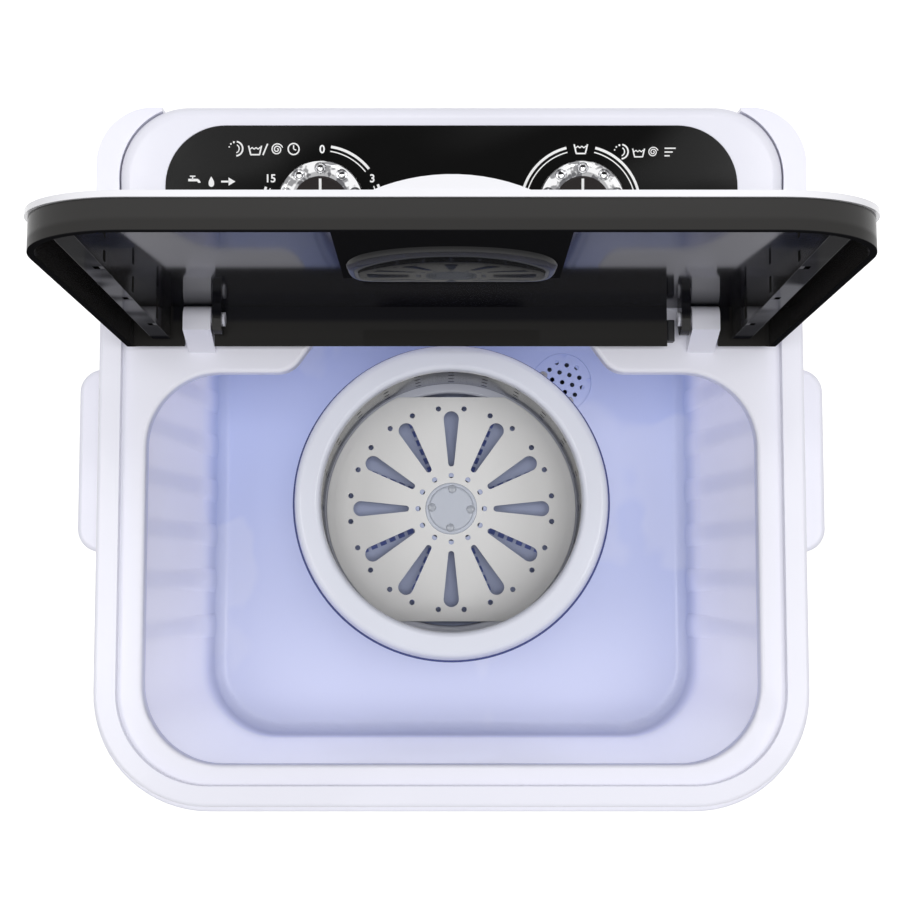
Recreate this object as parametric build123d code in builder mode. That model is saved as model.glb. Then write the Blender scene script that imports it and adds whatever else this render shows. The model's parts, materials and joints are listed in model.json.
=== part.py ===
from build123d import *
from math import cos, radians, sin, tan
import os

os.makedirs("parts", exist_ok=True)

# A compact single-tub washing machine with its lid standing open and a spin basket on its drive hub.
# Millimetres. The origin is under the middle of the body on the floor. +Z is up, -Y is the front.

# General walls and clearances
wall = 3.0
fit_gap = 0.3
running_gap = 0.05
press_gap = 0.02
screw_radius = 2.0
screw_head_radius = 4.0
screw_head_height = 2.4

# Feet and base
foot_radius = 18.0
foot_height = 12.0
foot_stud_radius = 5.0
foot_stud_height = 10.0
foot_x = 158.0
foot_y = 148.0
base_plate = 4.0
base_rib_height = 26.0
base_rib_inset = 26.0

# Cabinet
cabinet_half_width = 202.0
cabinet_half_depth = 196.0
cabinet_front_radius = 66.0
cabinet_rear_radius = 34.0
cabinet_top = 448.0
cabinet_boss_radius = 7.5
cabinet_boss_height = 26.0

# Deck: the white rim, the lid recess with its ledge, and the opening over the tub
rim_z = 460.0
deck_half_width = 199.5
deck_half_depth = 192.0
deck_front_radius = 64.0
deck_rear_radius = 32.0
deck_skirt = 12.0
recess_depth = 6.0
recess_half_width = 187.0
recess_front = -180.5
recess_rear = 95.0
recess_front_radius = 52.0
opening_half_width = 173.3
opening_front = -169.5
opening_rear = 51.0
opening_front_radius = 45.0
opening_rear_radius = 42.0
bay_rear = 76.5
bay_foot = 91.5
bay_half_width = 73.0
bay_radius = 16.0
lip_depth = 10.0
lip_wall = 2.4
lip_rounding = 2.5
rim_rounding = 2.5

# Tub
tub_top_half_width = 176.8
tub_top_front = -173.0
tub_top_rear = 103.0
tub_top_radius = 48.5
tub_floor_half_width = 158.0
tub_floor_front = -168.0
tub_floor_rear = 98.0
tub_floor_radius = 46.0
tub_rear_radius = 30.0
tub_floor_z = 270.0
tub_floor_thickness = 5.0
tub_bottom_rounding = 9.0
tub_flange = 7.5
tub_rib_count = 6
tub_rib_pitch = 30.0
tub_rib_start = -96.0
tub_rib_depth = 1.6
tub_rib_half_width = 8.0
tub_rib_fade = 0.9
dish_radius = 99.0
dish_depth = 2.0

# Drain grille, set in the tub floor at the end of a tongue that points at the basket
grille_x = 76.0
grille_y = 69.0
grille_angle = 45.0
grille_half_width = 19.5
grille_length = 36.0
grille_thickness = 2.0
grille_pocket = 2.8
grille_hole_radius = 1.6
grille_hole_pitch = 7.0
grille_screw_offset = 12.5
grille_screw_back = 6.0
sump_radius = 17.0
sump_depth = 26.0
drain_pipe_radius = 11.0
drain_pipe_bore = 8.5
drain_bend = 28.0
outlet_z = 84.0

# Rear cover
cover_half_width = 130.0
cover_bottom = 44.0
cover_top = 224.0
cover_lap = 10.0
pocket_half = 25.0
pocket_depth = 22.0
louvre_count = 7
louvre_pitch = 14.0
louvre_length = 70.0
louvre_x = -50.0
gland_x = -95.0
gland_radius = 9.0

# Side handles
handle_reach = 223.0
handle_y = 5.0
handle_half_length = 57.0
handle_end_radius = 14.0
handle_top = 404.0
handle_plate = 4.0
handle_lip_height = 20.0
handle_cup_half_length = 50.0
handle_cup_bottom = 352.0
handle_cup_depth = 20.0
handle_wall = 2.5

# Console
console_half_width = 180.0
console_front = 97.0
console_rear = 189.0
console_front_radius = 10.0
console_rear_radius = 38.0
console_front_height = 39.0
console_slope = 9.0
console_rounding = 7.0
console_bay_half_width = 150.0
console_bay_front = 107.0
console_bay_rear = 180.0
arm_top_half_width = 191.0
arm_top_rear = 188.0
arm_top_radius = 30.0
arm_gap = 0.8
arm_drop = 5.0
arm_tip_x = 157.0
arm_toe = 12.0

# Fascia and knobs
fascia_half_width = 154.6
fascia_front_edge = 6.5
fascia_rear_edge = 81.5
fascia_rear_radius = 33.0
fascia_front_radius = 8.0
fascia_thickness = 2.0
fascia_sink = 1.0
knob_x = 69.8
knob_along = 38.3
knob_radius = 23.5
knob_height = 13.0
knob_scallops = 10
knob_scallop_radius = 3.1
knob_cap_radius = 15.0
knob_cap_rise = 1.5
knob_lift = 0.4
spindle_radius = 3.0
bush_radius = 5.5
switch_half_width = 26.0
switch_half_length = 22.0
switch_depth = 26.0
inlet_x = -122.0
inlet_y = 122.0
inlet_radius = 11.0
inlet_bore = 8.0
inlet_rise = 26.0
inlet_collar_lift = 7.5
collar_radius = 14.0
collar_width = 2.5
inlet_nozzle_z = 424.0
inlet_bend = 17.0

# Lid and its hinge
hinge_y = 79.0
lid_clear = 0.2
lid_open_angle = 91.8
lid_half_width = 181.5
lid_front = -258.5
lid_rear = 8.0
lid_front_radius = 49.0
lid_rear_radius = 3.0
lid_under = -15.4
lid_inner_rear = 8.2
lid_slope = 2.7
window_thickness = 2.5
trim_thickness = 2.8
trim_proud = 1.5
trim_side = 28.6
trim_front = 34.0
trim_rear = 18.0
dome_half_width = 32.0
dome_height = 6.5
dome_length = 26.0
rail_outer = 167.0
rail_inner = 157.0
rail_wall = 2.0
rail_drop = 4.0
rail_front_gap = 24.0
rail_rear_gap = 10.0
channel_rib_places = (-196.0, -128.0, -60.0)
clip_places = (-176.0, -110.0, -44.0)
clip_half = 2.6
pull_half_width = 49.0
pull_length = 84.0
pull_wall = 2.0
post_inner = 134.0
post_outer = 149.5
post_front = -16.6
post_shoulder = -7.0
post_radius = 7.2
post_gap = 0.7
pin_radius = 4.0
pin_inner = 126.8
ear_outer = 133.0
ear_inner = 128.0
ear_radius = 9.0
switch_box_x = 122.2
switch_box_width = 4.0
buffer_x = 165.0
buffer_z = 488.0
buffer_radius = 5.0

# Drive under the tub
spin_y = -20.6
shaft_radius = 8.0
neck_radius = 19.5
housing_radius = 24.0
housing_bore = 14.0
housing_length = 82.0
flange_radius = 44.0
flange_thickness = 6.0
bearing_radius = 17.5
bearing_width = 11.0
bracket_thickness = 3.0
bracket_half_depth = 72.0
bracket_boss_y = 60.0
bracket_boss_radius = 8.0
bracket_boss_right = 47.0
bracket_boss_left = -152.0
motor_x = -118.0
motor_radius = 54.0
motor_length = 90.0
motor_cap_radius = 57.0
motor_cap_height = 16.0
motor_bolt_circle = 42.0
motor_end_wall = 7.0
motor_cavity_radius = 50.0
motor_boss_radius = 6.0
motor_boss_depth = 15.0
motor_slot_circle = 34.0
motor_shaft_radius = 6.0
motor_shaft_end = 5.0
stator_start = 25.0
stator_length = 38.0
stator_bore = 30.0
winding_length = 8.0
winding_width = 7.0
rotor_gap = 0.6
pulley_drop = 122.0
pulley_width = 16.0
belt_width = 8.0
belt_thickness = 5.0
groove_width = 9.0
drum_groove_radius = 64.0
drum_pulley_radius = 70.0
motor_groove_radius = 12.0
motor_pulley_radius = 18.0
belt_gap = 0.15
pulsator_radius = 94.0
pulsator_gap = 1.5
pulsator_core = 24.0
pulsator_core_height = 11.5
hub_circumradius = 18.0
hub_height = 24.5
vane_count = 4
vane_height = 9.0
vane_half_width = 3.0
pulsator_screw_length = 18.0

# Spin basket
basket_lift_travel = 28.0
ring_top = 432.0
ring_inner = 76.0
ring_outer = 90.4
ring_foot_radius = 93.2
ring_height = 26.5
lip_radius = 94.4
lip_thickness = 2.5
basket_wall_outer = 82.0
basket_wall_thickness = 0.8
wall_top_drop = 9.0
wall_hole_radius = 2.0
wall_hole_rows = 6
wall_hole_columns = 24
wall_hole_pitch = 15.0
plate_top = 332.0
plate_radius = 79.6
plate_flat = 71.8
plate_thickness = 2.4
slot_count = 12
slot_inner = 29.0
slot_outer = 57.9
slot_inner_radius = 1.9
slot_outer_radius = 4.9
plate_hole_circle = 64.8
plate_hole_angle = 7.3
plate_hole_radius = 1.7
inner_hole_circle = 21.3
basket_floor = 3.0
collar_inner = 75.0
collar_height = 19.0
sleeve_radius = 23.5
ladder_rows = 8
ladder_steps = 6
ladder_pitch = 6.4
ladder_start = 30.0
ladder_slot = 4.2
hub_cap_radius = 14.5
hub_ring_radius = 16.6
pip_circle = 10.6
pip_radius = 2.2

# Values that follow
cabinet_bottom = foot_height + base_plate
ledge_z = rim_z - recess_depth
hinge_z = ledge_z + lid_clear - lid_under
dish_z = tub_floor_z - dish_depth
tub_underside = tub_floor_z - tub_floor_thickness
ledge_under = ledge_z - wall
flange_bottom = tub_underside - flange_thickness
bracket_bottom = flange_bottom - bracket_thickness
housing_bottom = flange_bottom - housing_length
motor_bottom = bracket_bottom - motor_length
pulley_z = tub_underside - pulley_drop
hub_top = dish_z + pulsator_gap + pulsator_core_height + hub_height
basket_floor_top = hub_top + basket_floor
shaft_top = hub_top - 12.0
console_z = rim_z + console_front_height
cover_face = cabinet_half_depth - wall
cover_back = cover_face - wall
cover_middle = (cover_bottom + cover_top) / 2
cover_head_depth = 2.0
cover_screw_places = [
    (side * (cover_half_width - cover_lap / 2), cover_middle + step)
    for side in (-1, 1)
    for step in (-70, 0, 70)
]
console_boss_places = [(side * (console_half_width - 8.5), y) for side in (-1, 1) for y in (113, 143)]
spin_plane = Plane(origin=(0, spin_y, 0))
spin_side = Plane(origin=(0, spin_y, 0), x_dir=(1, 0, 0), z_dir=(0, -1, 0))
spin_axis = Axis((0, spin_y, 0), (0, 0, 1))


def rounded_plan(half_width, front, rear, front_radius, rear_radius):
    """A flat four-sided outline, the same on both sides of X = 0, with its own corner radii."""
    with BuildSketch() as plan:
        with BuildLine():
            FilletPolyline(
                (-half_width, front),
                (half_width, front),
                (half_width, rear),
                (-half_width, rear),
                radius=[front_radius, front_radius, rear_radius, rear_radius],
                close=True,
            )
        make_face()
    return plan.sketch


def cabinet_plan(inset):
    return rounded_plan(
        cabinet_half_width - inset,
        inset - cabinet_half_depth,
        cabinet_half_depth - inset,
        cabinet_front_radius - inset,
        cabinet_rear_radius - inset,
    )


def deck_plan(inset):
    return rounded_plan(
        deck_half_width - inset,
        inset - deck_half_depth,
        deck_half_depth - inset,
        deck_front_radius - inset,
        deck_rear_radius - inset,
    )


def recess_plan(outset):
    return rounded_plan(
        recess_half_width + outset,
        recess_front - outset,
        recess_rear + outset,
        recess_front_radius + outset,
        4 + outset,
    )


def opening_plan(outset):
    """The opening over the tub, with the bay in its rear edge that shows the drain grille."""
    half = opening_half_width + outset
    rear = opening_rear + outset
    corner = opening_rear_radius + outset
    with BuildSketch() as plan:
        with BuildLine():
            FilletPolyline(
                (-half, opening_front - outset),
                (half, opening_front - outset),
                (half, rear),
                (bay_foot + outset, rear),
                (bay_half_width + outset, bay_rear + outset),
                (-bay_half_width - outset, bay_rear + outset),
                (-bay_foot - outset, rear),
                (-half, rear),
                radius=[
                    opening_front_radius + outset,
                    opening_front_radius + outset,
                    corner,
                    bay_radius - outset,
                    bay_radius / 2 + outset,
                    bay_radius / 2 + outset,
                    bay_radius - outset,
                    corner,
                ],
                close=True,
            )
        make_face()
    return plan.sketch


def tub_top_plan(outset):
    return rounded_plan(
        tub_top_half_width + outset,
        tub_top_front - outset,
        tub_top_rear + outset,
        tub_top_radius + outset,
        tub_rear_radius + outset,
    )


def tub_floor_plan(outset):
    return rounded_plan(
        tub_floor_half_width + outset,
        tub_floor_front - outset,
        tub_floor_rear + outset,
        tub_floor_radius + outset,
        tub_rear_radius + outset,
    )


def console_plan(outset):
    return rounded_plan(
        console_half_width + outset,
        console_front - outset,
        console_rear + outset,
        console_front_radius + outset,
        console_rear_radius + outset,
    )


def grille_plan(outset, length):
    """A tongue: a half circle at the grille's centre, and straight sides towards the basket."""
    with BuildSketch() as plan:
        with Locations(Location((grille_x, grille_y), grille_angle)):
            Circle(grille_half_width + outset)
            Rectangle(length, 2 * (grille_half_width + outset), align=(Align.MAX, Align.CENTER))
    return plan.sketch


def bent_rod(points, bend, radius):
    """A round rod along a line of points with its corners bent, for a pipe or its bore."""
    with BuildPart() as rod:
        with BuildLine() as path:
            FilletPolyline(*points, radius=bend)
        with BuildSketch(Plane(origin=path.line @ 0, z_dir=path.line % 0)):
            Circle(radius)
        sweep()
    return rod.part


# Four feet, each with a stud that plugs into the base
with BuildPart() as rubber_feet:
    with BuildSketch():
        with GridLocations(2 * foot_x, 2 * foot_y, 2, 2):
            Circle(foot_radius)
    extrude(amount=foot_height)
    with BuildSketch(Plane.XY.offset(foot_height)):
        with GridLocations(2 * foot_x, 2 * foot_y, 2, 2):
            Circle(foot_stud_radius)
    extrude(amount=foot_stud_height)
    chamfer(rubber_feet.edges().group_by(Axis.Z)[0], length=2)

# Screws up through the base plate into the cabinet's bosses
base_screw_places = [
    (side * (cabinet_half_width - wall - cabinet_boss_radius + 1), y)
    for side in (-1, 1)
    for y in (-100, 40, 130)
]
base_screw_seat = foot_height + screw_head_height
with BuildPart() as base_screws:
    with BuildSketch(Plane.XY.offset(foot_height)):
        with Locations(*base_screw_places):
            Circle(screw_head_radius)
    extrude(amount=screw_head_height)
    with BuildSketch(Plane.XY.offset(base_screw_seat)):
        with Locations(*base_screw_places):
            Circle(screw_radius)
    extrude(amount=cabinet_boss_height - screw_head_height - 4)

# Base: a plate under the cabinet with a stiffening wall, foot sockets, screw holes and air slots
with BuildPart() as base_frame:
    with BuildSketch(Plane.XY.offset(foot_height)):
        add(cabinet_plan(0))
        with GridLocations(92, 18, 3, 7):
            SlotOverall(74, 7, mode=Mode.SUBTRACT)
    extrude(amount=base_plate)
    with BuildSketch(Plane.XY.offset(cabinet_bottom)):
        add(cabinet_plan(base_rib_inset))
        add(cabinet_plan(base_rib_inset + wall), mode=Mode.SUBTRACT)
        with GridLocations(2 * foot_x, 2 * foot_y, 2, 2):
            Circle(foot_stud_radius + wall + 2)
    extrude(amount=base_rib_height)
    with BuildSketch(Plane.XY.offset(foot_height)):
        with GridLocations(2 * foot_x, 2 * foot_y, 2, 2):
            Circle(foot_stud_radius + fit_gap)
    extrude(amount=foot_stud_height + 1, mode=Mode.SUBTRACT)
    with BuildSketch(Plane.XY.offset(foot_height)):
        with Locations(*base_screw_places):
            Circle(screw_head_radius + fit_gap)
    extrude(amount=screw_head_height, mode=Mode.SUBTRACT)
    with BuildSketch(Plane.XY.offset(foot_height)):
        with Locations(*base_screw_places):
            Circle(screw_radius + running_gap)
    extrude(amount=base_plate, mode=Mode.SUBTRACT)

# Cabinet: one straight shell with screw bosses, a rear service opening and two handle windows
handle_window_bottom = handle_cup_bottom - handle_wall
handle_window_top = handle_top - handle_plate
handle_window_half = handle_cup_half_length + handle_wall
with BuildPart() as cabinet:
    with BuildSketch(Plane.XY.offset(cabinet_bottom)):
        add(cabinet_plan(0))
    extrude(amount=cabinet_top - cabinet_bottom)
    fillet(cabinet.faces().sort_by(Axis.Z)[-1].edges(), radius=1.5)
    with BuildSketch(Plane.XY.offset(cabinet_bottom)):
        add(cabinet_plan(wall))
    extrude(amount=cabinet_top - cabinet_bottom, mode=Mode.SUBTRACT)
    with BuildSketch(Plane.XY.offset(cabinet_bottom)):
        with Locations(*base_screw_places):
            Circle(cabinet_boss_radius)
    extrude(amount=cabinet_boss_height)
    with BuildSketch(Plane.XY.offset(cabinet_bottom)):
        with Locations(*base_screw_places):
            Circle(screw_radius + running_gap)
    extrude(amount=cabinet_boss_height - wall, mode=Mode.SUBTRACT)
    with BuildSketch(Plane.XZ.offset(-cabinet_half_depth)):
        with Locations((0, (cover_bottom + cover_top) / 2)):
            RectangleRounded(
                2 * (cover_half_width - cover_lap), cover_top - cover_bottom - 2 * cover_lap, 8
            )
    extrude(amount=2 * wall, mode=Mode.SUBTRACT)
    with BuildSketch(Plane.YZ):
        with Locations((handle_y, (handle_window_bottom + handle_window_top) / 2)):
            Rectangle(2 * handle_window_half, handle_window_top - handle_window_bottom)
    extrude(amount=cabinet_half_width + 1, both=True, mode=Mode.SUBTRACT)
    with BuildSketch(Plane.XZ.offset(-cabinet_half_depth)):
        with Locations(*cover_screw_places):
            Circle(screw_head_radius + running_gap)
    extrude(amount=cover_head_depth, mode=Mode.SUBTRACT)
    with BuildSketch(Plane.XZ.offset(-cabinet_half_depth)):
        with Locations(*cover_screw_places):
            Circle(screw_radius + running_gap)
    extrude(amount=wall, mode=Mode.SUBTRACT)
    chamfer(cabinet.faces().sort_by(Axis.Z)[0].outer_wire().edges(), length=1)
cabinet.part.label = "cabinet"
export_step(cabinet.part, "parts/cabinet.step")


def make_handle(side):
    """A carrying grip: a hooded ledge outside the cabinet and a finger cup behind it."""
    flange_half = handle_half_length - 1
    with BuildPart() as handle:
        with BuildSketch(Plane.XY.offset(handle_top - handle_lip_height)):
            with BuildLine():
                FilletPolyline(
                    (cabinet_half_width, handle_y - handle_half_length),
                    (handle_reach, handle_y - handle_half_length + 5),
                    (handle_reach, handle_y + handle_half_length - 5),
                    (cabinet_half_width, handle_y + handle_half_length),
                    radius=[0, handle_end_radius, handle_end_radius, 0],
                    close=True,
                )
            make_face()
        extrude(amount=handle_lip_height)
        fillet(handle.faces().sort_by(Axis.Z)[-1].edges().sort_by(Axis.X)[1:], radius=3)
        with BuildSketch(Plane.YZ.offset(cabinet_half_width - handle_cup_depth - handle_wall)):
            with Locations((handle_y, (handle_window_bottom + handle_window_top) / 2)):
                Rectangle(2 * handle_window_half, handle_window_top - handle_window_bottom)
        extrude(amount=handle_cup_depth + handle_wall)
        with BuildSketch(Plane.YZ.offset(cabinet_half_width)):
            with Locations((handle_y, (handle_window_bottom + handle_top) / 2 - 4)):
                RectangleRounded(2 * flange_half, handle_top - handle_window_bottom, 8)
        extrude(amount=wall / 2)
        with BuildSketch(Plane.XY.offset(handle_cup_bottom)):
            with Locations((cabinet_half_width - handle_cup_depth, handle_y)):
                Rectangle(
                    handle_cup_depth + handle_reach - cabinet_half_width - handle_plate,
                    2 * handle_cup_half_length,
                    align=(Align.MIN, Align.CENTER),
                )
        extrude(amount=handle_window_top - handle_cup_bottom - handle_wall, mode=Mode.SUBTRACT)
    if side < 0:
        return mirror(handle.part, about=Plane.YZ)
    return handle.part


with BuildPart() as side_handle_right:
    add(make_handle(1))

with BuildPart() as side_handle_left:
    add(make_handle(-1))

rubber_feet.part.label = "rubber_feet"
export_step(rubber_feet.part, "parts/rubber_feet.step")
base_screws.part.label = "base_screws"
export_step(base_screws.part, "parts/base_screws.step")
base_frame.part.label = "base_frame"
export_step(base_frame.part, "parts/base_frame.step")
side_handle_right.part.label = "side_handle_right"
export_step(side_handle_right.part, "parts/side_handle_right.step")
side_handle_left.part.label = "side_handle_left"
export_step(side_handle_left.part, "parts/side_handle_left.step")

# The body's two rear arms rise beside the console and wrap its corners
tilt = radians(console_slope)
console_plane = Plane(
    origin=(0, console_front, console_z), x_dir=(1, 0, 0), z_dir=(0, -sin(tilt), cos(tilt))
)
arm_roof = console_plane.offset(-arm_drop)
arm_full_height = rim_z + 60
with BuildPart() as rear_arms:
    with BuildSketch(Plane.XY.offset(rim_z - wall)):
        add(deck_plan(0))
    with BuildSketch(Plane.XY.offset(arm_full_height)):
        add(
            rounded_plan(
                arm_top_half_width,
                -deck_half_depth,
                arm_top_rear,
                deck_front_radius,
                arm_top_radius,
            )
        )
    loft(ruled=True)
    split(bisect_by=arm_roof, keep=Keep.BOTTOM)
    with BuildSketch(Plane.YZ):
        with BuildLine():
            Polyline(
                (console_front, rim_z - wall),
                (deck_half_depth + 1, rim_z - wall),
                (deck_half_depth + 1, arm_full_height),
                (console_front + 2 * arm_toe, arm_full_height),
            )
            Spline(
                (console_front + 2 * arm_toe, arm_full_height),
                (console_front + arm_toe, rim_z + console_front_height / 2),
                (console_front, rim_z),
                tangents=[(0, -1), (-1, -0.4)],
            )
            Line((console_front, rim_z), (console_front, rim_z - wall))
        make_face()
    extrude(amount=deck_half_width + 1, both=True, mode=Mode.INTERSECT)
    with BuildSketch(Plane.XY.offset(rim_z - wall)):
        add(console_plan(arm_gap))
        with Locations((0, console_front)):
            Rectangle(2 * arm_tip_x, 2 * deck_half_depth)
    extrude(amount=arm_full_height, mode=Mode.SUBTRACT)

# Deck with rim, recess, ledge, lip, skirt, arms, hinge posts and their pins
with BuildPart() as top_deck:
    with BuildSketch(Plane.XY.offset(cabinet_top)):
        add(deck_plan(0))
    extrude(amount=rim_z - cabinet_top)
    fillet(top_deck.faces().sort_by(Axis.Z)[-1].edges(), radius=rim_rounding)
    with BuildSketch(Plane.XY.offset(cabinet_top)):
        add(deck_plan(wall))
    extrude(amount=rim_z - cabinet_top - wall, mode=Mode.SUBTRACT)
    with BuildSketch(Plane.XY.offset(cabinet_top - deck_skirt)):
        add(deck_plan(arm_gap))
        add(deck_plan(wall + arm_gap), mode=Mode.SUBTRACT)
    extrude(amount=deck_skirt + 1)
    with BuildSketch(Plane.XY.offset(ledge_under)):
        add(recess_plan(wall))
    extrude(amount=rim_z - wall - ledge_under)
    with BuildSketch(Plane.XY.offset(ledge_z)):
        add(recess_plan(0))
    extrude(amount=recess_depth, mode=Mode.SUBTRACT)
    with BuildSketch(Plane.XY.offset(ledge_z - lip_depth)):
        add(opening_plan(lip_wall))
    extrude(amount=lip_depth - wall)
    with BuildSketch(Plane.XY.offset(ledge_z - lip_depth)):
        add(opening_plan(0))
    extrude(amount=lip_depth, mode=Mode.SUBTRACT)
    lip_edges = top_deck.edges(Select.LAST).filter_by_position(
        Axis.Z, ledge_z - 0.01, ledge_z + 0.01
    )
    fillet(lip_edges, radius=lip_rounding)
    with BuildSketch(Plane.XY.offset(ledge_under)):
        with Locations((0, (console_bay_front + console_bay_rear) / 2)):
            RectangleRounded(
                2 * console_bay_half_width, console_bay_rear - console_bay_front, 6
            )
        with Locations(*console_boss_places):
            Circle(screw_radius + running_gap)
    extrude(amount=rim_z - ledge_under, mode=Mode.SUBTRACT)
    add(rear_arms.part)
    for side in (-1, 1):
        with BuildSketch(Plane.YZ.offset(side * post_inner)):
            with BuildLine():
                Polyline(
                    (hinge_y + post_front, ledge_z - 1),
                    (hinge_y + post_front, ledge_z),
                    (hinge_y + post_shoulder, hinge_z + post_radius),
                    (hinge_y, hinge_z + post_radius),
                )
                RadiusArc(
                    (hinge_y, hinge_z + post_radius), (hinge_y + post_radius, hinge_z), post_radius
                )
                Polyline(
                    (hinge_y + post_radius, hinge_z),
                    (hinge_y + post_radius, ledge_z - 1),
                    (hinge_y + post_front, ledge_z - 1),
                )
            make_face()
        extrude(amount=side * (post_outer - post_inner))
        with BuildSketch(Plane.YZ.offset(side * pin_inner)):
            with Locations((hinge_y, hinge_z)):
                Circle(pin_radius)
        extrude(amount=side * (post_inner - pin_inner + 1))

top_deck.part.label = "top_deck"
export_step(top_deck.part, "parts/top_deck.step")

# Tub: a tapered basin with rounded corners, soft side ribs, a dished floor and a hanging flange
grille_seat = tub_floor_z - grille_pocket
grille_top = grille_seat + grille_thickness
with BuildPart(mode=Mode.PRIVATE) as tub_space:
    with BuildSketch(Plane.XY.offset(tub_floor_z)):
        add(tub_floor_plan(0))
    with BuildSketch(Plane.XY.offset(ledge_under)):
        add(tub_top_plan(0))
    loft(ruled=True)
    fillet(tub_space.faces().sort_by(Axis.Z)[0].edges(), radius=tub_bottom_rounding)

tub_height = ledge_under - tub_floor_z
tub_draft = (tub_top_half_width - tub_floor_half_width) / tub_height
tub_rib_lean = tub_draft + tub_rib_depth / (tub_rib_fade * tub_height)
tub_boss_places = [
    (x, spin_y + y)
    for x in (bracket_boss_left, bracket_boss_right)
    for y in (-bracket_boss_y, bracket_boss_y)
]
tub_screw_radius = 1.5
tub_screw_line = tub_top_half_width + wall + tub_flange / 2 + 0.4
tub_screw_places = [(side * tub_screw_line, y) for side in (-1, 1) for y in (-110, -20, 60)]
tub_screw_places += [(x, tub_top_front - wall - tub_flange / 2) for x in (-90, 0, 90)]
with BuildPart() as wash_tub:
    with BuildSketch(Plane.XY.offset(tub_underside)):
        add(tub_floor_plan(wall))
    with BuildSketch(Plane.XY.offset(ledge_under)):
        add(tub_top_plan(wall))
    loft(ruled=True)
    fillet(wash_tub.faces().sort_by(Axis.Z)[0].edges(), radius=tub_bottom_rounding)
    with BuildSketch(Plane.XY.offset(ledge_under)):
        add(
            rounded_plan(
                tub_top_half_width + wall + tub_flange,
                tub_top_front - wall - tub_flange,
                tub_top_rear + 2 * wall,
                tub_top_radius + wall + tub_flange,
                tub_rear_radius + wall,
            )
        )
    extrude(amount=-wall)
    with BuildSketch(Plane.XY.offset(tub_underside)):
        with Locations(*tub_boss_places):
            Circle(bracket_boss_radius)
    extrude(amount=-flange_thickness)
    add(tub_space.part, mode=Mode.SUBTRACT)
    for side in (-1, 1):
        for rib in range(tub_rib_count):
            rib_plane = Plane(
                origin=(
                    side * tub_floor_half_width,
                    tub_rib_start + rib * tub_rib_pitch,
                    tub_floor_z,
                ),
                x_dir=(0, 1, 0),
                z_dir=(side * tub_rib_lean, 0, 1),
            )
            with BuildSketch(rib_plane.offset(tub_bottom_rounding)):
                Ellipse(tub_rib_half_width, tub_rib_depth)
            extrude(amount=tub_height - wall - tub_bottom_rounding)
    with BuildSketch(Plane.XY.offset(dish_z)):
        with Locations((0, spin_y)):
            Circle(dish_radius - dish_depth)
    with BuildSketch(Plane.XY.offset(tub_floor_z)):
        with Locations((0, spin_y)):
            Circle(dish_radius)
    loft(mode=Mode.SUBTRACT)
    with BuildSketch(Plane.XY.offset(grille_seat)):
        add(grille_plan(fit_gap, grille_length + fit_gap))
    extrude(amount=grille_pocket, mode=Mode.SUBTRACT)
    with BuildSketch(Plane.XY.offset(tub_underside)):
        with Locations((0, spin_y)):
            Circle(neck_radius + fit_gap)
        with Locations((grille_x, grille_y)):
            Circle(sump_radius - wall)
    extrude(amount=tub_floor_thickness, mode=Mode.SUBTRACT)
    with BuildSketch(Plane.XY.offset(tub_underside - flange_thickness)):
        with Locations(*tub_boss_places):
            Circle(screw_radius + running_gap)
    extrude(amount=flange_thickness + 2, mode=Mode.SUBTRACT)
    with BuildSketch(Plane.XY.offset(ledge_under)):
        with Locations(*tub_screw_places):
            Circle(tub_screw_radius + running_gap)
    extrude(amount=-wall, mode=Mode.SUBTRACT)
    with BuildSketch(Plane.XZ.offset(-tub_floor_rear + 5)):
        with Locations((inlet_x, inlet_nozzle_z)):
            Circle(inlet_radius + fit_gap)
    extrude(amount=-20, mode=Mode.SUBTRACT)

with BuildPart() as tub_screws:
    with BuildSketch(Plane.XY.offset(ledge_under - wall - screw_head_height)):
        with Locations(*tub_screw_places):
            Circle(screw_head_radius - 0.8)
    extrude(amount=screw_head_height)
    with BuildSketch(Plane.XY.offset(ledge_under - wall)):
        with Locations(*tub_screw_places):
            Circle(tub_screw_radius)
    extrude(amount=wall)

# Drain grille with staggered holes and two screws
grille_frame = Location((grille_x, grille_y), grille_angle)
grille_holes = [
    (column * grille_hole_pitch - (row % 2) * grille_hole_pitch / 2, row * grille_hole_pitch * 0.87)
    for row in range(-2, 3)
    for column in range(-1, 3)
]
grille_screws = [(-grille_screw_back, -grille_screw_offset), (-grille_screw_back, grille_screw_offset)]
with BuildPart() as drain_grille:
    with BuildSketch(Plane.XY.offset(grille_seat)):
        add(grille_plan(0, grille_length))
        with Locations(grille_frame):
            with Locations(*grille_holes):
                Circle(grille_hole_radius, mode=Mode.SUBTRACT)
            with Locations(*grille_screws):
                Circle(tub_screw_radius + running_gap, mode=Mode.SUBTRACT)
    extrude(amount=grille_thickness)

with BuildPart() as grille_screws_pair:
    with BuildSketch(Plane.XY.offset(grille_top)):
        with Locations(grille_frame):
            with Locations(*grille_screws):
                Circle(2.9)
    extrude(amount=1.4)
    fillet(grille_screws_pair.edges().group_by(Axis.Z)[-1], radius=0.8)
    with BuildSketch(Plane.XY.offset(grille_seat)):
        with Locations(grille_frame):
            with Locations(*grille_screws):
                Circle(tub_screw_radius)
    extrude(amount=grille_thickness)
    with BuildSketch(Plane.XY.offset(grille_top + 0.8)):
        with Locations(grille_frame):
            with Locations(*grille_screws):
                Rectangle(3.4, 0.7)
                Rectangle(0.7, 3.4)
    extrude(amount=1, mode=Mode.SUBTRACT)

wash_tub.part.label = "wash_tub"
export_step(wash_tub.part, "parts/wash_tub.step")
tub_screws.part.label = "tub_screws"
export_step(tub_screws.part, "parts/tub_screws.step")
drain_grille.part.label = "drain_grille"
export_step(drain_grille.part, "parts/drain_grille.step")
grille_screws_pair.part.label = "grille_screws"
export_step(grille_screws_pair.part, "parts/grille_screws.step")

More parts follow.
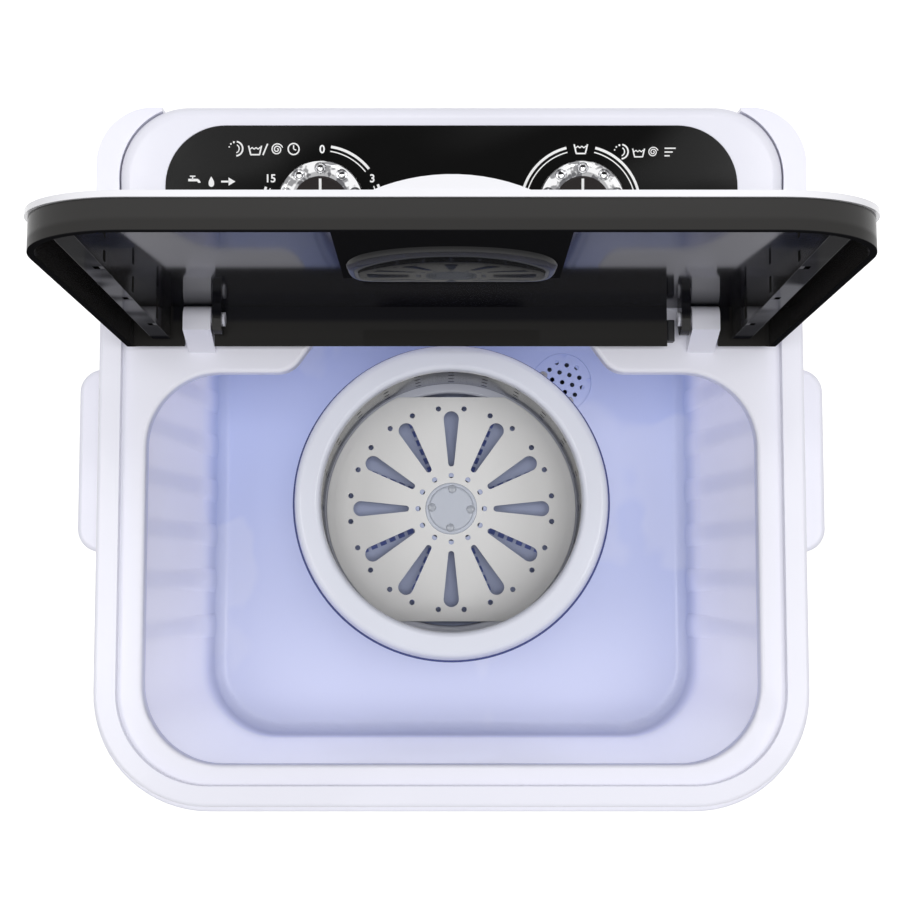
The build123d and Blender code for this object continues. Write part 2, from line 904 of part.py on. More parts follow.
# Sump cup under the grille, and the drain pipe that runs down and out at the back
sump_bottom = tub_underside - sump_depth
pipe_end = cabinet_half_depth - wall - 0.5
cover_pocket_floor = cabinet_half_depth - wall - pocket_depth + 0.1
drain_path = [
    (grille_x, grille_y, sump_bottom),
    (grille_x, grille_y, outlet_z),
    (grille_x, pipe_end, outlet_z),
]
with BuildPart() as drain_pipe:
    with BuildSketch(Plane.XY.offset(sump_bottom)):
        with Locations((grille_x, grille_y)):
            Circle(sump_radius)
    extrude(amount=sump_depth)
    add(bent_rod(drain_path, drain_bend, drain_pipe_radius))
    with BuildSketch(Plane.XZ.offset(-cover_pocket_floor)):
        with Locations((grille_x, outlet_z)):
            Circle(collar_radius)
    extrude(amount=-collar_width)
    with BuildSketch(Plane.XY.offset(sump_bottom + wall)):
        with Locations((grille_x, grille_y)):
            Circle(sump_radius - wall)
    extrude(amount=sump_depth, mode=Mode.SUBTRACT)
    with BuildSketch(Plane.XY.offset(sump_bottom)):
        with Locations((grille_x, grille_y)):
            Circle(drain_pipe_bore)
    extrude(amount=wall, mode=Mode.SUBTRACT)
    add(bent_rod(drain_path, drain_bend, drain_pipe_bore), mode=Mode.SUBTRACT)
drain_pipe.part.label = "drain_pipe"
export_step(drain_pipe.part, "parts/drain_pipe.step")

# Rear cover behind the service opening: hose pocket, louvres, screw bosses and the cord gland's hole
louvre_z = cover_middle + 18
louvre_height = 5.0
cover_boss_depth = 6.0
pocket_outer = 2 * (pocket_half + 2)
gland_neck = gland_radius - 2.5
with BuildPart() as rear_cover:
    with BuildSketch(Plane.XZ.offset(-cover_face)):
        with Locations((0, cover_middle)):
            RectangleRounded(2 * cover_half_width, cover_top - cover_bottom, 12)
    extrude(amount=wall)
    with BuildSketch(Plane.XZ.offset(-cover_back)):
        with Locations(*cover_screw_places):
            Circle(screw_head_radius + 1)
    extrude(amount=cover_boss_depth)
    with BuildSketch(Plane.XZ.offset(-cover_back)):
        with Locations((grille_x, outlet_z)):
            RectangleRounded(pocket_outer, pocket_outer, 8)
    extrude(amount=pocket_depth)
    with BuildSketch(Plane.XZ.offset(-cover_face)):
        with Locations((grille_x, outlet_z)):
            RectangleRounded(2 * pocket_half, 2 * pocket_half, 6)
    extrude(amount=pocket_depth, mode=Mode.SUBTRACT)
    with BuildSketch(Plane.XZ.offset(-cover_face)):
        with Locations((grille_x, outlet_z)):
            Circle(drain_pipe_radius + fit_gap)
        with Locations((gland_x, outlet_z)):
            Circle(gland_neck)
        with Locations((louvre_x, louvre_z)):
            with GridLocations(1, louvre_pitch, 1, louvre_count):
                SlotOverall(louvre_length, louvre_height)
    extrude(amount=pocket_depth + 2 * wall, mode=Mode.SUBTRACT)
    with BuildSketch(Plane.XZ.offset(-cover_face)):
        with Locations(*cover_screw_places):
            Circle(screw_radius + running_gap)
    extrude(amount=wall + cover_boss_depth, mode=Mode.SUBTRACT)
rear_cover.part.label = "rear_cover"
export_step(rear_cover.part, "parts/rear_cover.step")

with BuildPart() as rear_cover_screws:
    with BuildSketch(Plane.XZ.offset(-cabinet_half_depth)):
        with Locations(*cover_screw_places):
            Circle(screw_head_radius)
    extrude(amount=cover_head_depth)
    with BuildSketch(Plane.XZ.offset(cover_head_depth - cabinet_half_depth)):
        with Locations(*cover_screw_places):
            Circle(screw_radius)
    extrude(amount=wall + cover_boss_depth)
rear_cover_screws.part.label = "rear_cover_screws"
export_step(rear_cover_screws.part, "parts/rear_cover_screws.step")

gland_head = 2.5
gland_nut = 4.0
gland_bore = 3.6
with BuildPart() as cord_gland:
    with BuildSketch(Plane.XZ.offset(-cover_face - gland_head)):
        with Locations((gland_x, outlet_z)):
            Circle(gland_radius)
    extrude(amount=gland_head)
    with BuildSketch(Plane.XZ.offset(-cover_face)):
        with Locations((gland_x, outlet_z)):
            Circle(gland_neck - running_gap)
    extrude(amount=wall)
    with BuildSketch(Plane.XZ.offset(-cover_back)):
        with Locations((gland_x, outlet_z)):
            Circle(gland_radius - 1)
    extrude(amount=gland_nut)
    with BuildSketch(Plane.XZ.offset(-cover_face - gland_head)):
        with Locations((gland_x, outlet_z)):
            Circle(gland_bore)
    extrude(amount=gland_head + wall + gland_nut, mode=Mode.SUBTRACT)
cord_gland.part.label = "cord_gland"
export_step(cord_gland.part, "parts/cord_gland.step")

# Console: a sloped housing over the deck's rear, with a sunk fascia
def fascia_plan(outset):
    """The glossy panel's outline in the console's sloped plane."""
    half = fascia_half_width + outset
    with BuildSketch() as plan:
        with BuildLine():
            FilletPolyline(
                (-half, fascia_front_edge - outset),
                (half, fascia_front_edge - outset),
                (half, fascia_rear_edge + outset),
                (-half, fascia_rear_edge + outset),
                radius=[
                    fascia_front_radius,
                    fascia_front_radius,
                    fascia_rear_radius,
                    fascia_rear_radius,
                ],
                close=True,
            )
        make_face()
    return plan.sketch


inlet_top = console_z + (inlet_y - console_front) * tan(tilt) + inlet_rise
inlet_hole_start = rim_z + 20
knob_places = [(-knob_x, knob_along), (knob_x, knob_along)]
console_full_height = 80.0
console_boss_radius = 6.0
console_boss_height = 20.0
console_screw_reach = 15.0
with BuildPart() as console_cavity:
    with BuildSketch(Plane.XY.offset(rim_z)):
        add(console_plan(-wall))
    extrude(amount=console_full_height)
    split(bisect_by=console_plane.offset(-wall), keep=Keep.BOTTOM)

with BuildPart() as console_housing:
    with BuildSketch(Plane.XY.offset(rim_z)):
        add(console_plan(0))
    extrude(amount=console_full_height)
    split(bisect_by=console_plane, keep=Keep.BOTTOM)
    fillet(console_housing.faces().sort_by(Axis.Z)[-1].edges(), radius=console_rounding)
    add(console_cavity.part, mode=Mode.SUBTRACT)
    with BuildSketch(Plane.XY.offset(rim_z)):
        with Locations(*console_boss_places):
            Circle(console_boss_radius)
    extrude(amount=console_boss_height)
    with BuildSketch(Plane.XY.offset(rim_z)):
        with Locations(*console_boss_places):
            Circle(screw_radius + running_gap)
    extrude(amount=console_boss_height - 2, mode=Mode.SUBTRACT)
    with BuildSketch(console_plane.offset(-fascia_sink)):
        add(fascia_plan(fit_gap))
    extrude(amount=fascia_sink + 1, mode=Mode.SUBTRACT)
    with BuildSketch(console_plane.offset(-2 * wall)):
        with Locations(*knob_places):
            Circle(bush_radius + running_gap)
    extrude(amount=3 * wall, mode=Mode.SUBTRACT)
    with BuildSketch(Plane.XY.offset(inlet_hole_start)):
        with Locations((inlet_x, inlet_y)):
            Circle(inlet_radius + fit_gap)
    extrude(amount=console_full_height, mode=Mode.SUBTRACT)
console_housing.part.label = "console_housing"
export_step(console_housing.part, "parts/console_housing.step")

with BuildPart() as console_screws:
    with BuildSketch(Plane.XY.offset(rim_z - wall - screw_head_height)):
        with Locations(*console_boss_places):
            Circle(screw_head_radius)
    extrude(amount=screw_head_height)
    with BuildSketch(Plane.XY.offset(rim_z - wall)):
        with Locations(*console_boss_places):
            Circle(screw_radius)
    extrude(amount=console_screw_reach)
console_screws.part.label = "console_screws"
export_step(console_screws.part, "parts/console_screws.step")

with BuildPart() as fascia_panel:
    with BuildSketch(console_plane.offset(-fascia_sink)):
        add(fascia_plan(0))
    extrude(amount=fascia_thickness)
    with BuildSketch(console_plane.offset(-fascia_sink)):
        with Locations(*knob_places):
            Circle(bush_radius + running_gap)
    extrude(amount=fascia_thickness, mode=Mode.SUBTRACT)
    with BuildSketch(Plane.XY.offset(inlet_hole_start)):
        with Locations((inlet_x, inlet_y)):
            Circle(inlet_radius + fit_gap)
    extrude(amount=console_full_height, mode=Mode.SUBTRACT)
fascia_panel.part.label = "fascia_panel"
export_step(fascia_panel.part, "parts/fascia_panel.step")

switch_tab_places = [(-12, -12), (12, -12), (0, 12)]
switch_tab_width = 6.0
switch_tab_thickness = 1.0
switch_tab_length = 7.0
spindle_pocket = 5.0


def switch_block(x):
    """A rotary switch hung under the console: a box, a bush through the panel, a spindle bore."""
    with BuildPart() as block:
        with BuildSketch(console_plane.offset(-wall - switch_depth)):
            with Locations((x, knob_along)):
                RectangleRounded(2 * switch_half_width, 2 * switch_half_length, 3)
        extrude(amount=switch_depth)
        with BuildSketch(console_plane.offset(-wall)):
            with Locations((x, knob_along)):
                Circle(bush_radius)
        extrude(amount=wall - fascia_sink + fascia_thickness)
        with BuildSketch(console_plane.offset(-wall - switch_depth)):
            with Locations((x, knob_along)):
                with Locations(*switch_tab_places):
                    Rectangle(switch_tab_width, switch_tab_thickness)
        extrude(amount=-switch_tab_length)
        with BuildSketch(console_plane.offset(-wall - spindle_pocket)):
            with Locations((x, knob_along)):
                Circle(spindle_radius + running_gap)
        extrude(amount=switch_depth, mode=Mode.SUBTRACT)
    return block.part


with BuildPart() as timer_body:
    add(switch_block(-knob_x))
timer_body.part.label = "timer_body"
export_step(timer_body.part, "parts/timer_body.step")

with BuildPart() as selector_switch:
    add(switch_block(knob_x))
selector_switch.part.label = "selector_switch"
export_step(selector_switch.part, "parts/selector_switch.step")

# Knobs: each is a bright dimpled ring, a dark cap with a pointer let into it, and a spindle
knob_base = fascia_thickness - fascia_sink + knob_lift
knob_plane = console_plane.offset(knob_base)
knob_floor = 4.0
knob_rounding = 3.0
cap_rounding = 1.0
cap_top = knob_height + knob_cap_rise
spindle_foot = -6.0
spindle_head = 2 * knob_floor - 0.5
pointer_length = 9.0
pointer_width = 1.4
pointer_depth = 0.6
pointer_middle = knob_cap_radius - 1.5 - pointer_length / 2


def knob_ring(x):
    """The bright outer ring with a ring of round dimples near its top edge."""
    with BuildPart() as ring:
        with BuildSketch(knob_plane):
            with Locations((x, knob_along)):
                Circle(knob_radius)
        extrude(amount=knob_height)
        fillet(ring.edges().sort_by(Axis.Z)[-1], radius=knob_rounding)
        with BuildSketch(knob_plane.offset(knob_floor)):
            with Locations((x, knob_along)):
                Circle(knob_cap_radius + running_gap)
        extrude(amount=knob_height, mode=Mode.SUBTRACT)
        with BuildSketch(knob_plane):
            with Locations((x, knob_along)):
                Circle(spindle_radius + press_gap)
        extrude(amount=knob_floor, mode=Mode.SUBTRACT)
        with Locations(knob_plane.offset(knob_height).location * Location((x, knob_along, 0))):
            with PolarLocations(knob_radius - knob_scallop_radius - 1, knob_scallops, start_angle=90):
                Sphere(knob_scallop_radius, mode=Mode.SUBTRACT)
    return ring.part


def knob_cap(x):
    """The dark cap pressed into the ring, with a groove for its pointer."""
    with BuildPart() as cap:
        with BuildSketch(knob_plane.offset(knob_floor)):
            with Locations((x, knob_along)):
                Circle(knob_cap_radius)
        extrude(amount=cap_top - knob_floor)
        fillet(cap.edges().sort_by(Axis.Z)[-1], radius=cap_rounding)
        with BuildSketch(knob_plane.offset(knob_floor)):
            with Locations((x, knob_along)):
                Circle(spindle_radius + press_gap)
        extrude(amount=knob_floor, mode=Mode.SUBTRACT)
        with BuildSketch(knob_plane.offset(cap_top - pointer_depth)):
            with Locations((x, knob_along + pointer_middle)):
                Rectangle(pointer_width, pointer_length)
        extrude(amount=1, mode=Mode.SUBTRACT)
    return cap.part


def knob_pointer(x):
    with BuildPart() as pointer:
        with BuildSketch(knob_plane.offset(cap_top - pointer_depth)):
            with Locations((x, knob_along + pointer_middle)):
                Rectangle(pointer_width, pointer_length)
        extrude(amount=pointer_depth + 0.1)
    return pointer.part


def knob_spindle(x):
    with BuildPart() as spindle:
        with BuildSketch(console_plane.offset(spindle_foot)):
            with Locations((x, knob_along)):
                Circle(spindle_radius)
        extrude(amount=knob_base + spindle_head - spindle_foot)
    return spindle.part


with BuildPart() as timer_knob_ring:
    add(knob_ring(-knob_x))
timer_knob_ring.part.label = "timer_knob_ring"
export_step(timer_knob_ring.part, "parts/timer_knob_ring.step")

with BuildPart() as timer_knob_cap:
    add(knob_cap(-knob_x))
timer_knob_cap.part.label = "timer_knob_cap"
export_step(timer_knob_cap.part, "parts/timer_knob_cap.step")

with BuildPart() as timer_knob_pointer:
    add(knob_pointer(-knob_x))
timer_knob_pointer.part.label = "timer_knob_pointer"
export_step(timer_knob_pointer.part, "parts/timer_knob_pointer.step")

with BuildPart() as timer_knob_spindle:
    add(knob_spindle(-knob_x))
timer_knob_spindle.part.label = "timer_knob_spindle"
export_step(timer_knob_spindle.part, "parts/timer_knob_spindle.step")

with BuildPart() as selector_knob_ring:
    add(knob_ring(knob_x))
selector_knob_ring.part.label = "selector_knob_ring"
export_step(selector_knob_ring.part, "parts/selector_knob_ring.step")

with BuildPart() as selector_knob_cap:
    add(knob_cap(knob_x))
selector_knob_cap.part.label = "selector_knob_cap"
export_step(selector_knob_cap.part, "parts/selector_knob_cap.step")

with BuildPart() as selector_knob_pointer:
    add(knob_pointer(knob_x))
selector_knob_pointer.part.label = "selector_knob_pointer"
export_step(selector_knob_pointer.part, "parts/selector_knob_pointer.step")

with BuildPart() as selector_knob_spindle:
    add(knob_spindle(knob_x))
selector_knob_spindle.part.label = "selector_knob_spindle"
export_step(selector_knob_spindle.part, "parts/selector_knob_spindle.step")

# Water inlet: a spigot on the panel whose pipe bends forward through the tub's rear wall
inlet_path = [
    (inlet_x, inlet_y, inlet_top),
    (inlet_x, inlet_y, inlet_nozzle_z),
    (inlet_x, tub_floor_rear + 2, inlet_nozzle_z),
]
with BuildPart() as water_inlet:
    add(bent_rod(inlet_path, inlet_bend, inlet_radius))
    with BuildSketch(Plane.XY.offset(inlet_top - inlet_rise + inlet_collar_lift - collar_width)):
        with Locations((inlet_x, inlet_y)):
            Circle(collar_radius)
    extrude(amount=collar_width)
    add(bent_rod(inlet_path, inlet_bend, inlet_bore), mode=Mode.SUBTRACT)
water_inlet.part.label = "water_inlet"
export_step(water_inlet.part, "parts/water_inlet.step")

# Capacitor standing on the base, with its two tabs
with BuildPart() as capacitor:
    with BuildSketch(Plane.XY.offset(cabinet_bottom)):
        with Locations((-120, 120)):
            Circle(19)
    extrude(amount=66)
    fillet(capacitor.edges().sort_by(Axis.Z)[-1], radius=3)
    with BuildSketch(Plane.XY.offset(cabinet_bottom + 66)):
        with Locations((-126, 120), (-114, 120)):
            Rectangle(1, 6)
    extrude(amount=9)
capacitor.part.label = "capacitor"
export_step(capacitor.part, "parts/capacitor.step")

# Lid, drawn as it lies when closed, in a frame on the hinge axis that stands open
lid_turn = radians(lid_open_angle)
lid_lean = radians(lid_open_angle - lid_slope)
lid_frame = Plane(
    origin=(0, hinge_y, hinge_z), x_dir=(1, 0, 0), z_dir=(0, sin(lid_turn), cos(lid_turn))
)
lid_inner = Plane(
    origin=lid_frame.from_local_coords(Vector(0, lid_rear, lid_inner_rear)),
    x_dir=(1, 0, 0),
    z_dir=(0, sin(lid_lean), cos(lid_lean)),
)
lid_outer = lid_inner.offset(window_thickness)
trim_outer = lid_outer.offset(trim_thickness)
lid_full_height = 60.0


def lid_plan(outset):
    return rounded_plan(
        lid_half_width + outset,
        lid_front - outset,
        lid_rear + min(outset, 0),
        lid_front_radius + outset,
        lid_rear_radius,
    )


def under_panel(plan, bottom, ceiling):
    """A prism over a plan from one height up to the lid's sloped panel."""
    with BuildPart() as prism:
        with BuildSketch(lid_frame.offset(bottom)):
            add(plan)
        extrude(amount=lid_full_height)
        split(bisect_by=ceiling, keep=Keep.BOTTOM)
    return prism.part


def lid_side(x):
    """A plane across the hinge axis, with the lid's length along it and its height upwards."""
    return Plane(origin=(x, hinge_y, hinge_z), x_dir=lid_frame.y_dir, z_dir=(1, 0, 0))


def rectangle_plan(left, right, front, rear):
    with BuildSketch() as plan:
        with Locations(((left + right) / 2, (front + rear) / 2)):
            Rectangle(right - left, rear - front)
    return plan.sketch


post_notches = [
    (-post_outer - post_gap, -post_inner + 0.6),
    (switch_box_x - post_gap, post_outer + post_gap),
]
rail_front = lid_front + rail_front_gap
rail_rear = lid_rear - rail_rear_gap
pull_front = lid_front + pull_wall
pull_rear = pull_front + pull_length
lid_corner = -lid_under - 0.1
lid_diagonal = radians(45)
pin_gap = 0.06
with BuildPart() as lid_tray:
    add(under_panel(lid_plan(0), lid_under, lid_outer))
    add(under_panel(lid_plan(-wall), lid_under, lid_inner), mode=Mode.SUBTRACT)
    for side in (-1, 1):
        near = side * rail_inner
        far = side * rail_outer
        rail = rectangle_plan(min(near, far), max(near, far), rail_front, rail_rear)
        add(under_panel(rail, lid_under + rail_drop, lid_outer))
        near = side * (rail_inner + rail_wall)
        far = side * (rail_outer - rail_wall)
        slots = [rail_front + rail_wall, *channel_rib_places, rail_rear - rail_wall]
        for start, end in zip(slots[:-1], slots[1:]):
            slot = rectangle_plan(min(near, far), max(near, far), start + 1, end - 1)
            add(under_panel(slot, lid_under, lid_inner), mode=Mode.SUBTRACT)
        for place in clip_places:
            near = side * (rail_inner - 1)
            far = side * (rail_inner + rail_wall + 1)
            clip = rectangle_plan(min(near, far), max(near, far), place - clip_half, place + clip_half)
            add(under_panel(clip, lid_under + rail_drop + 3, lid_inner.offset(-3)), mode=Mode.SUBTRACT)
    pull_plan = rectangle_plan(-pull_half_width, pull_half_width, pull_front, pull_rear)
    add(under_panel(pull_plan, lid_under, lid_outer))
    pull_space = rectangle_plan(
        pull_wall - pull_half_width,
        pull_half_width - pull_wall,
        pull_front + pull_wall,
        pull_rear - pull_wall,
    )
    add(
        under_panel(pull_space, lid_under + pull_wall, lid_outer.offset(1)),
        mode=Mode.SUBTRACT,
    )
    for start, end in post_notches:
        notch = rectangle_plan(start, end, lid_rear - wall - 1, lid_rear + 1)
        add(under_panel(notch, lid_under - 1, lid_inner), mode=Mode.SUBTRACT)
    with BuildSketch(lid_side(0)):
        with BuildLine():
            Polyline(
                (0, -lid_corner), (0, -20), (lid_corner + 1, -20), (lid_corner + 1, 0), (lid_corner, 0)
            )
            ThreePointArc(
                (lid_corner, 0),
                (lid_corner * cos(lid_diagonal), -lid_corner * sin(lid_diagonal)),
                (0, -lid_corner),
            )
        make_face()
    extrude(amount=lid_half_width + 1, both=True, mode=Mode.SUBTRACT)
    for side in (-1, 1):
        with BuildSketch(lid_side(side * ear_inner)):
            Circle(ear_radius)
            with Locations((0, lid_inner_rear / 2)):
                Rectangle(2 * ear_radius - 2, lid_inner_rear)
            Circle(pin_radius + pin_gap, mode=Mode.SUBTRACT)
        extrude(amount=side * (ear_outer - ear_inner))
lid_tray.part.label = "lid_tray"
export_step(lid_tray.part, "parts/lid_tray.step")

# White trim frame on the lid's outer face, with a low dome to push it open
window_front_radius = 30.0
window_rear_radius = 10.0
dome_start = trim_outer.from_local_coords(Vector(0, lid_front - lid_rear - trim_proud + 0.5, -1))
with BuildPart() as lid_trim:
    add(under_panel(lid_plan(trim_proud), lid_under, trim_outer))
    split(bisect_by=lid_outer, keep=Keep.TOP)
    with BuildSketch(lid_frame.offset(lid_under)):
        add(
            rounded_plan(
                lid_half_width - trim_side,
                lid_front + trim_front,
                lid_rear - trim_rear,
                window_front_radius,
                window_rear_radius,
            )
        )
    extrude(amount=lid_full_height, mode=Mode.SUBTRACT)
    with BuildSketch(Plane(origin=dome_start, x_dir=(1, 0, 0), z_dir=-trim_outer.y_dir)):
        with BuildLine():
            ThreePointArc((-dome_half_width, 1), (0, dome_height + 1), (dome_half_width, 1))
            Polyline(
                (dome_half_width, 1), (dome_half_width, 0), (-dome_half_width, 0), (-dome_half_width, 1)
            )
        make_face()
    extrude(amount=-dome_length)
lid_trim.part.label = "lid_trim"
export_step(lid_trim.part, "parts/lid_trim.step")

# Buffers on the console's front that stop the lid, and the sensing block beside the right hinge
stop_origin = trim_outer.origin
stop_lean = cos(lid_lean) / sin(lid_lean)
buffer_tip = stop_origin.Y - (buffer_z - stop_origin.Z) * stop_lean + lid_clear
with BuildPart() as lid_buffers:
    with BuildSketch(Plane.XZ.offset(-console_front)):
        with Locations((-buffer_x, buffer_z), (buffer_x, buffer_z)):
            Circle(buffer_radius)
    extrude(amount=console_front - buffer_tip)
lid_buffers.part.label = "lid_buffers"
export_step(lid_buffers.part, "parts/lid_buffers.step")

with BuildPart() as lid_switch:
    with BuildSketch(Plane.XY.offset(ledge_z)):
        with Locations((switch_box_x, hinge_y - 5)):
            Rectangle(switch_box_width, 12, align=(Align.MIN, Align.CENTER))
    extrude(amount=8)
    fillet(lid_switch.edges().group_by(Axis.Z)[-1], radius=0.8)
lid_switch.part.label = "lid_switch"
export_step(lid_switch.part, "parts/lid_switch.step")

# Bracket under the tub that carries the bearing housing and the motor
bracket_left = bracket_boss_left - 10
bracket_right = bracket_boss_right + 11
flange_bolt_circle = 36.0
with BuildPart() as drive_bracket:
    with BuildSketch(Plane.XY.offset(bracket_bottom)):
        with Locations(((bracket_left + bracket_right) / 2, spin_y)):
            RectangleRounded(bracket_right - bracket_left, 2 * bracket_half_depth, 10)
    extrude(amount=bracket_thickness)
    with BuildSketch(Plane.XY.offset(bracket_bottom)):
        for side in (-1, 1):
            with Locations(
                ((bracket_left + bracket_right) / 2, spin_y + side * (bracket_half_depth - 1.5))
            ):
                Rectangle(bracket_right - bracket_left - 24, bracket_thickness)
    extrude(amount=-12)
    with BuildSketch(Plane.XY.offset(bracket_bottom)):
        with Locations((0, spin_y)):
            Circle(housing_radius + fit_gap)
            with PolarLocations(flange_bolt_circle, 4, start_angle=45):
                Circle(screw_radius + running_gap)
        with Locations((motor_x, spin_y)):
            with PolarLocations(motor_bolt_circle, 4, start_angle=45):
                Circle(screw_radius + running_gap)
        with Locations(*tub_boss_places):
            Circle(screw_radius + running_gap)
        with Locations((motor_x / 2 + 4, spin_y - 52), (motor_x / 2 + 4, spin_y + 52)):
            SlotOverall(60, 14)
    extrude(amount=bracket_thickness, mode=Mode.SUBTRACT)
drive_bracket.part.label = "drive_bracket"
export_step(drive_bracket.part, "parts/drive_bracket.step")

with BuildPart() as bracket_screws:
    with BuildSketch(Plane.XY.offset(bracket_bottom - screw_head_height)):
        with Locations(*tub_boss_places):
            Circle(screw_head_radius)
        with Locations((0, spin_y)):
            with PolarLocations(flange_bolt_circle, 4, start_angle=45):
                Circle(screw_head_radius)
    extrude(amount=screw_head_height)
    with BuildSketch(Plane.XY.offset(bracket_bottom)):
        with Locations(*tub_boss_places):
            Circle(screw_radius)
        with Locations((0, spin_y)):
            with PolarLocations(flange_bolt_circle, 4, start_angle=45):
                Circle(screw_radius)
    extrude(amount=8)
bracket_screws.part.label = "bracket_screws"
export_step(bracket_screws.part, "parts/bracket_screws.step")

with BuildPart() as bearing_housing:
    with BuildSketch(spin_plane.offset(flange_bottom)):
        Circle(flange_radius)
    extrude(amount=flange_thickness)
    with BuildSketch(spin_plane.offset(housing_bottom)):
        Circle(housing_radius)
    extrude(amount=housing_length)
    with BuildSketch(spin_plane.offset(tub_underside)):
        Circle(neck_radius)
    extrude(amount=tub_floor_thickness - dish_depth)
    for turn in range(4):
        with BuildSketch(spin_plane.offset(housing_bottom + 40)):
            with Locations(Location((0, 0), 90 * turn)):
                with Locations((housing_radius + 3, 0)):
                    Rectangle(10, 4)
        extrude(amount=flange_bottom - bracket_thickness - housing_bottom - 41)
    with BuildSketch(spin_plane.offset(housing_bottom)):
        Circle(housing_bore)
    extrude(amount=housing_length + flange_thickness + tub_floor_thickness, mode=Mode.SUBTRACT)
    with BuildSketch(spin_plane.offset(housing_bottom)):
        Circle(bearing_radius + press_gap)
    extrude(amount=bearing_width, mode=Mode.SUBTRACT)
    with BuildSketch(spin_plane.offset(flange_bottom - 15)):
        Circle(bearing_radius + press_gap)
    extrude(amount=40, mode=Mode.SUBTRACT)
    with BuildSketch(spin_plane.offset(flange_bottom)):
        with PolarLocations(flange_bolt_circle, 4, start_angle=45):
            Circle(screw_radius + running_gap)
    extrude(amount=flange_thickness, mode=Mode.SUBTRACT)
bearing_housing.part.label = "bearing_housing"
export_step(bearing_housing.part, "parts/bearing_housing.step")

with BuildPart() as shaft_bearings:
    for bottom in (housing_bottom, flange_bottom - 15):
        with BuildSketch(spin_plane.offset(bottom)):
            Circle(bearing_radius)
            Circle(shaft_radius + running_gap, mode=Mode.SUBTRACT)
        extrude(amount=bearing_width)
        for face in (bottom, bottom + bearing_width - 0.8):
            with BuildSketch(spin_plane.offset(face)):
                Circle(bearing_radius - 2)
                Circle(shaft_radius + 2.5, mode=Mode.SUBTRACT)
            extrude(amount=0.8, mode=Mode.SUBTRACT)
shaft_bearings.part.label = "shaft_bearings"
export_step(shaft_bearings.part, "parts/shaft_bearings.step")

with BuildPart() as shaft_seal:
    with BuildSketch(spin_plane.offset(flange_bottom)):
        Circle(bearing_radius)
        Circle(shaft_radius + running_gap, mode=Mode.SUBTRACT)
    extrude(amount=8)
shaft_seal.part.label = "shaft_seal"
export_step(shaft_seal.part, "parts/shaft_seal.step")

# Motor: a can between two end caps, its stator and rotor, bolts, shaft and small pulley
motor_plane = Plane(origin=(motor_x, spin_y, motor_bottom))
motor_bolt_length = 14.0
with BuildPart() as motor_body:
    with BuildSketch(motor_plane):
        Circle(motor_radius)
    extrude(amount=motor_length)
    for bottom in (0, motor_length - motor_cap_height):
        with BuildSketch(motor_plane.offset(bottom)):
            Circle(motor_cap_radius)
        extrude(amount=motor_cap_height)
    with BuildSketch(motor_plane.offset(motor_end_wall)):
        Circle(motor_cavity_radius)
    extrude(amount=motor_length - 2 * motor_end_wall, mode=Mode.SUBTRACT)
    with BuildSketch(motor_plane.offset(motor_length - motor_boss_depth)):
        with PolarLocations(motor_bolt_circle, 4, start_angle=45):
            Circle(motor_boss_radius)
        Circle(motor_shaft_radius + motor_boss_radius)
    extrude(amount=motor_boss_depth - 1)
    with BuildSketch(motor_plane):
        with PolarLocations(motor_slot_circle, 8):
            SlotOverall(18, 6)
    extrude(amount=motor_end_wall, mode=Mode.SUBTRACT)
    with BuildSketch(motor_plane):
        Circle(motor_shaft_radius + running_gap)
    extrude(amount=motor_length - motor_shaft_end + 1, mode=Mode.SUBTRACT)
    with BuildSketch(motor_plane.offset(motor_length)):
        with PolarLocations(motor_bolt_circle, 4, start_angle=45):
            Circle(screw_radius + running_gap)
    extrude(amount=-motor_bolt_length + 2, mode=Mode.SUBTRACT)
motor_body.part.label = "motor_body"
export_step(motor_body.part, "parts/motor_body.step")

with BuildPart() as motor_stator:
    with BuildSketch(motor_plane.offset(stator_start)):
        Circle(motor_cavity_radius - press_gap)
        Circle(stator_bore, mode=Mode.SUBTRACT)
    extrude(amount=stator_length)
    with BuildSketch(motor_plane.offset(stator_start - winding_length)):
        Circle(stator_bore + winding_width)
        Circle(stator_bore, mode=Mode.SUBTRACT)
    extrude(amount=stator_length + 2 * winding_length)
motor_stator.part.label = "motor_stator"
export_step(motor_stator.part, "parts/motor_stator.step")

with BuildPart() as motor_bolts:
    with BuildSketch(Plane.XY.offset(flange_bottom)):
        with Locations((motor_x, spin_y)):
            with PolarLocations(motor_bolt_circle, 4, start_angle=45):
                Circle(screw_head_radius)
    extrude(amount=screw_head_height)
    with BuildSketch(Plane.XY.offset(flange_bottom)):
        with Locations((motor_x, spin_y)):
            with PolarLocations(motor_bolt_circle, 4, start_angle=45):
                Circle(screw_radius)
    extrude(amount=-motor_bolt_length)
motor_bolts.part.label = "motor_bolts"
export_step(motor_bolts.part, "parts/motor_bolts.step")

pulley_bottom = pulley_z - pulley_width / 2
shaft_bottom = pulley_bottom - 4
with BuildPart() as motor_shaft:
    with BuildSketch(Plane.XY.offset(shaft_bottom)):
        with Locations((motor_x, spin_y)):
            Circle(motor_shaft_radius)
    extrude(amount=bracket_bottom - motor_shaft_end - shaft_bottom)
motor_shaft.part.label = "motor_shaft"
export_step(motor_shaft.part, "parts/motor_shaft.step")

with BuildPart() as motor_rotor:
    with BuildSketch(motor_plane.offset(stator_start)):
        Circle(stator_bore - rotor_gap)
        Circle(motor_shaft_radius + press_gap, mode=Mode.SUBTRACT)
    extrude(amount=stator_length)
motor_rotor.part.label = "motor_rotor"
export_step(motor_rotor.part, "parts/motor_rotor.step")


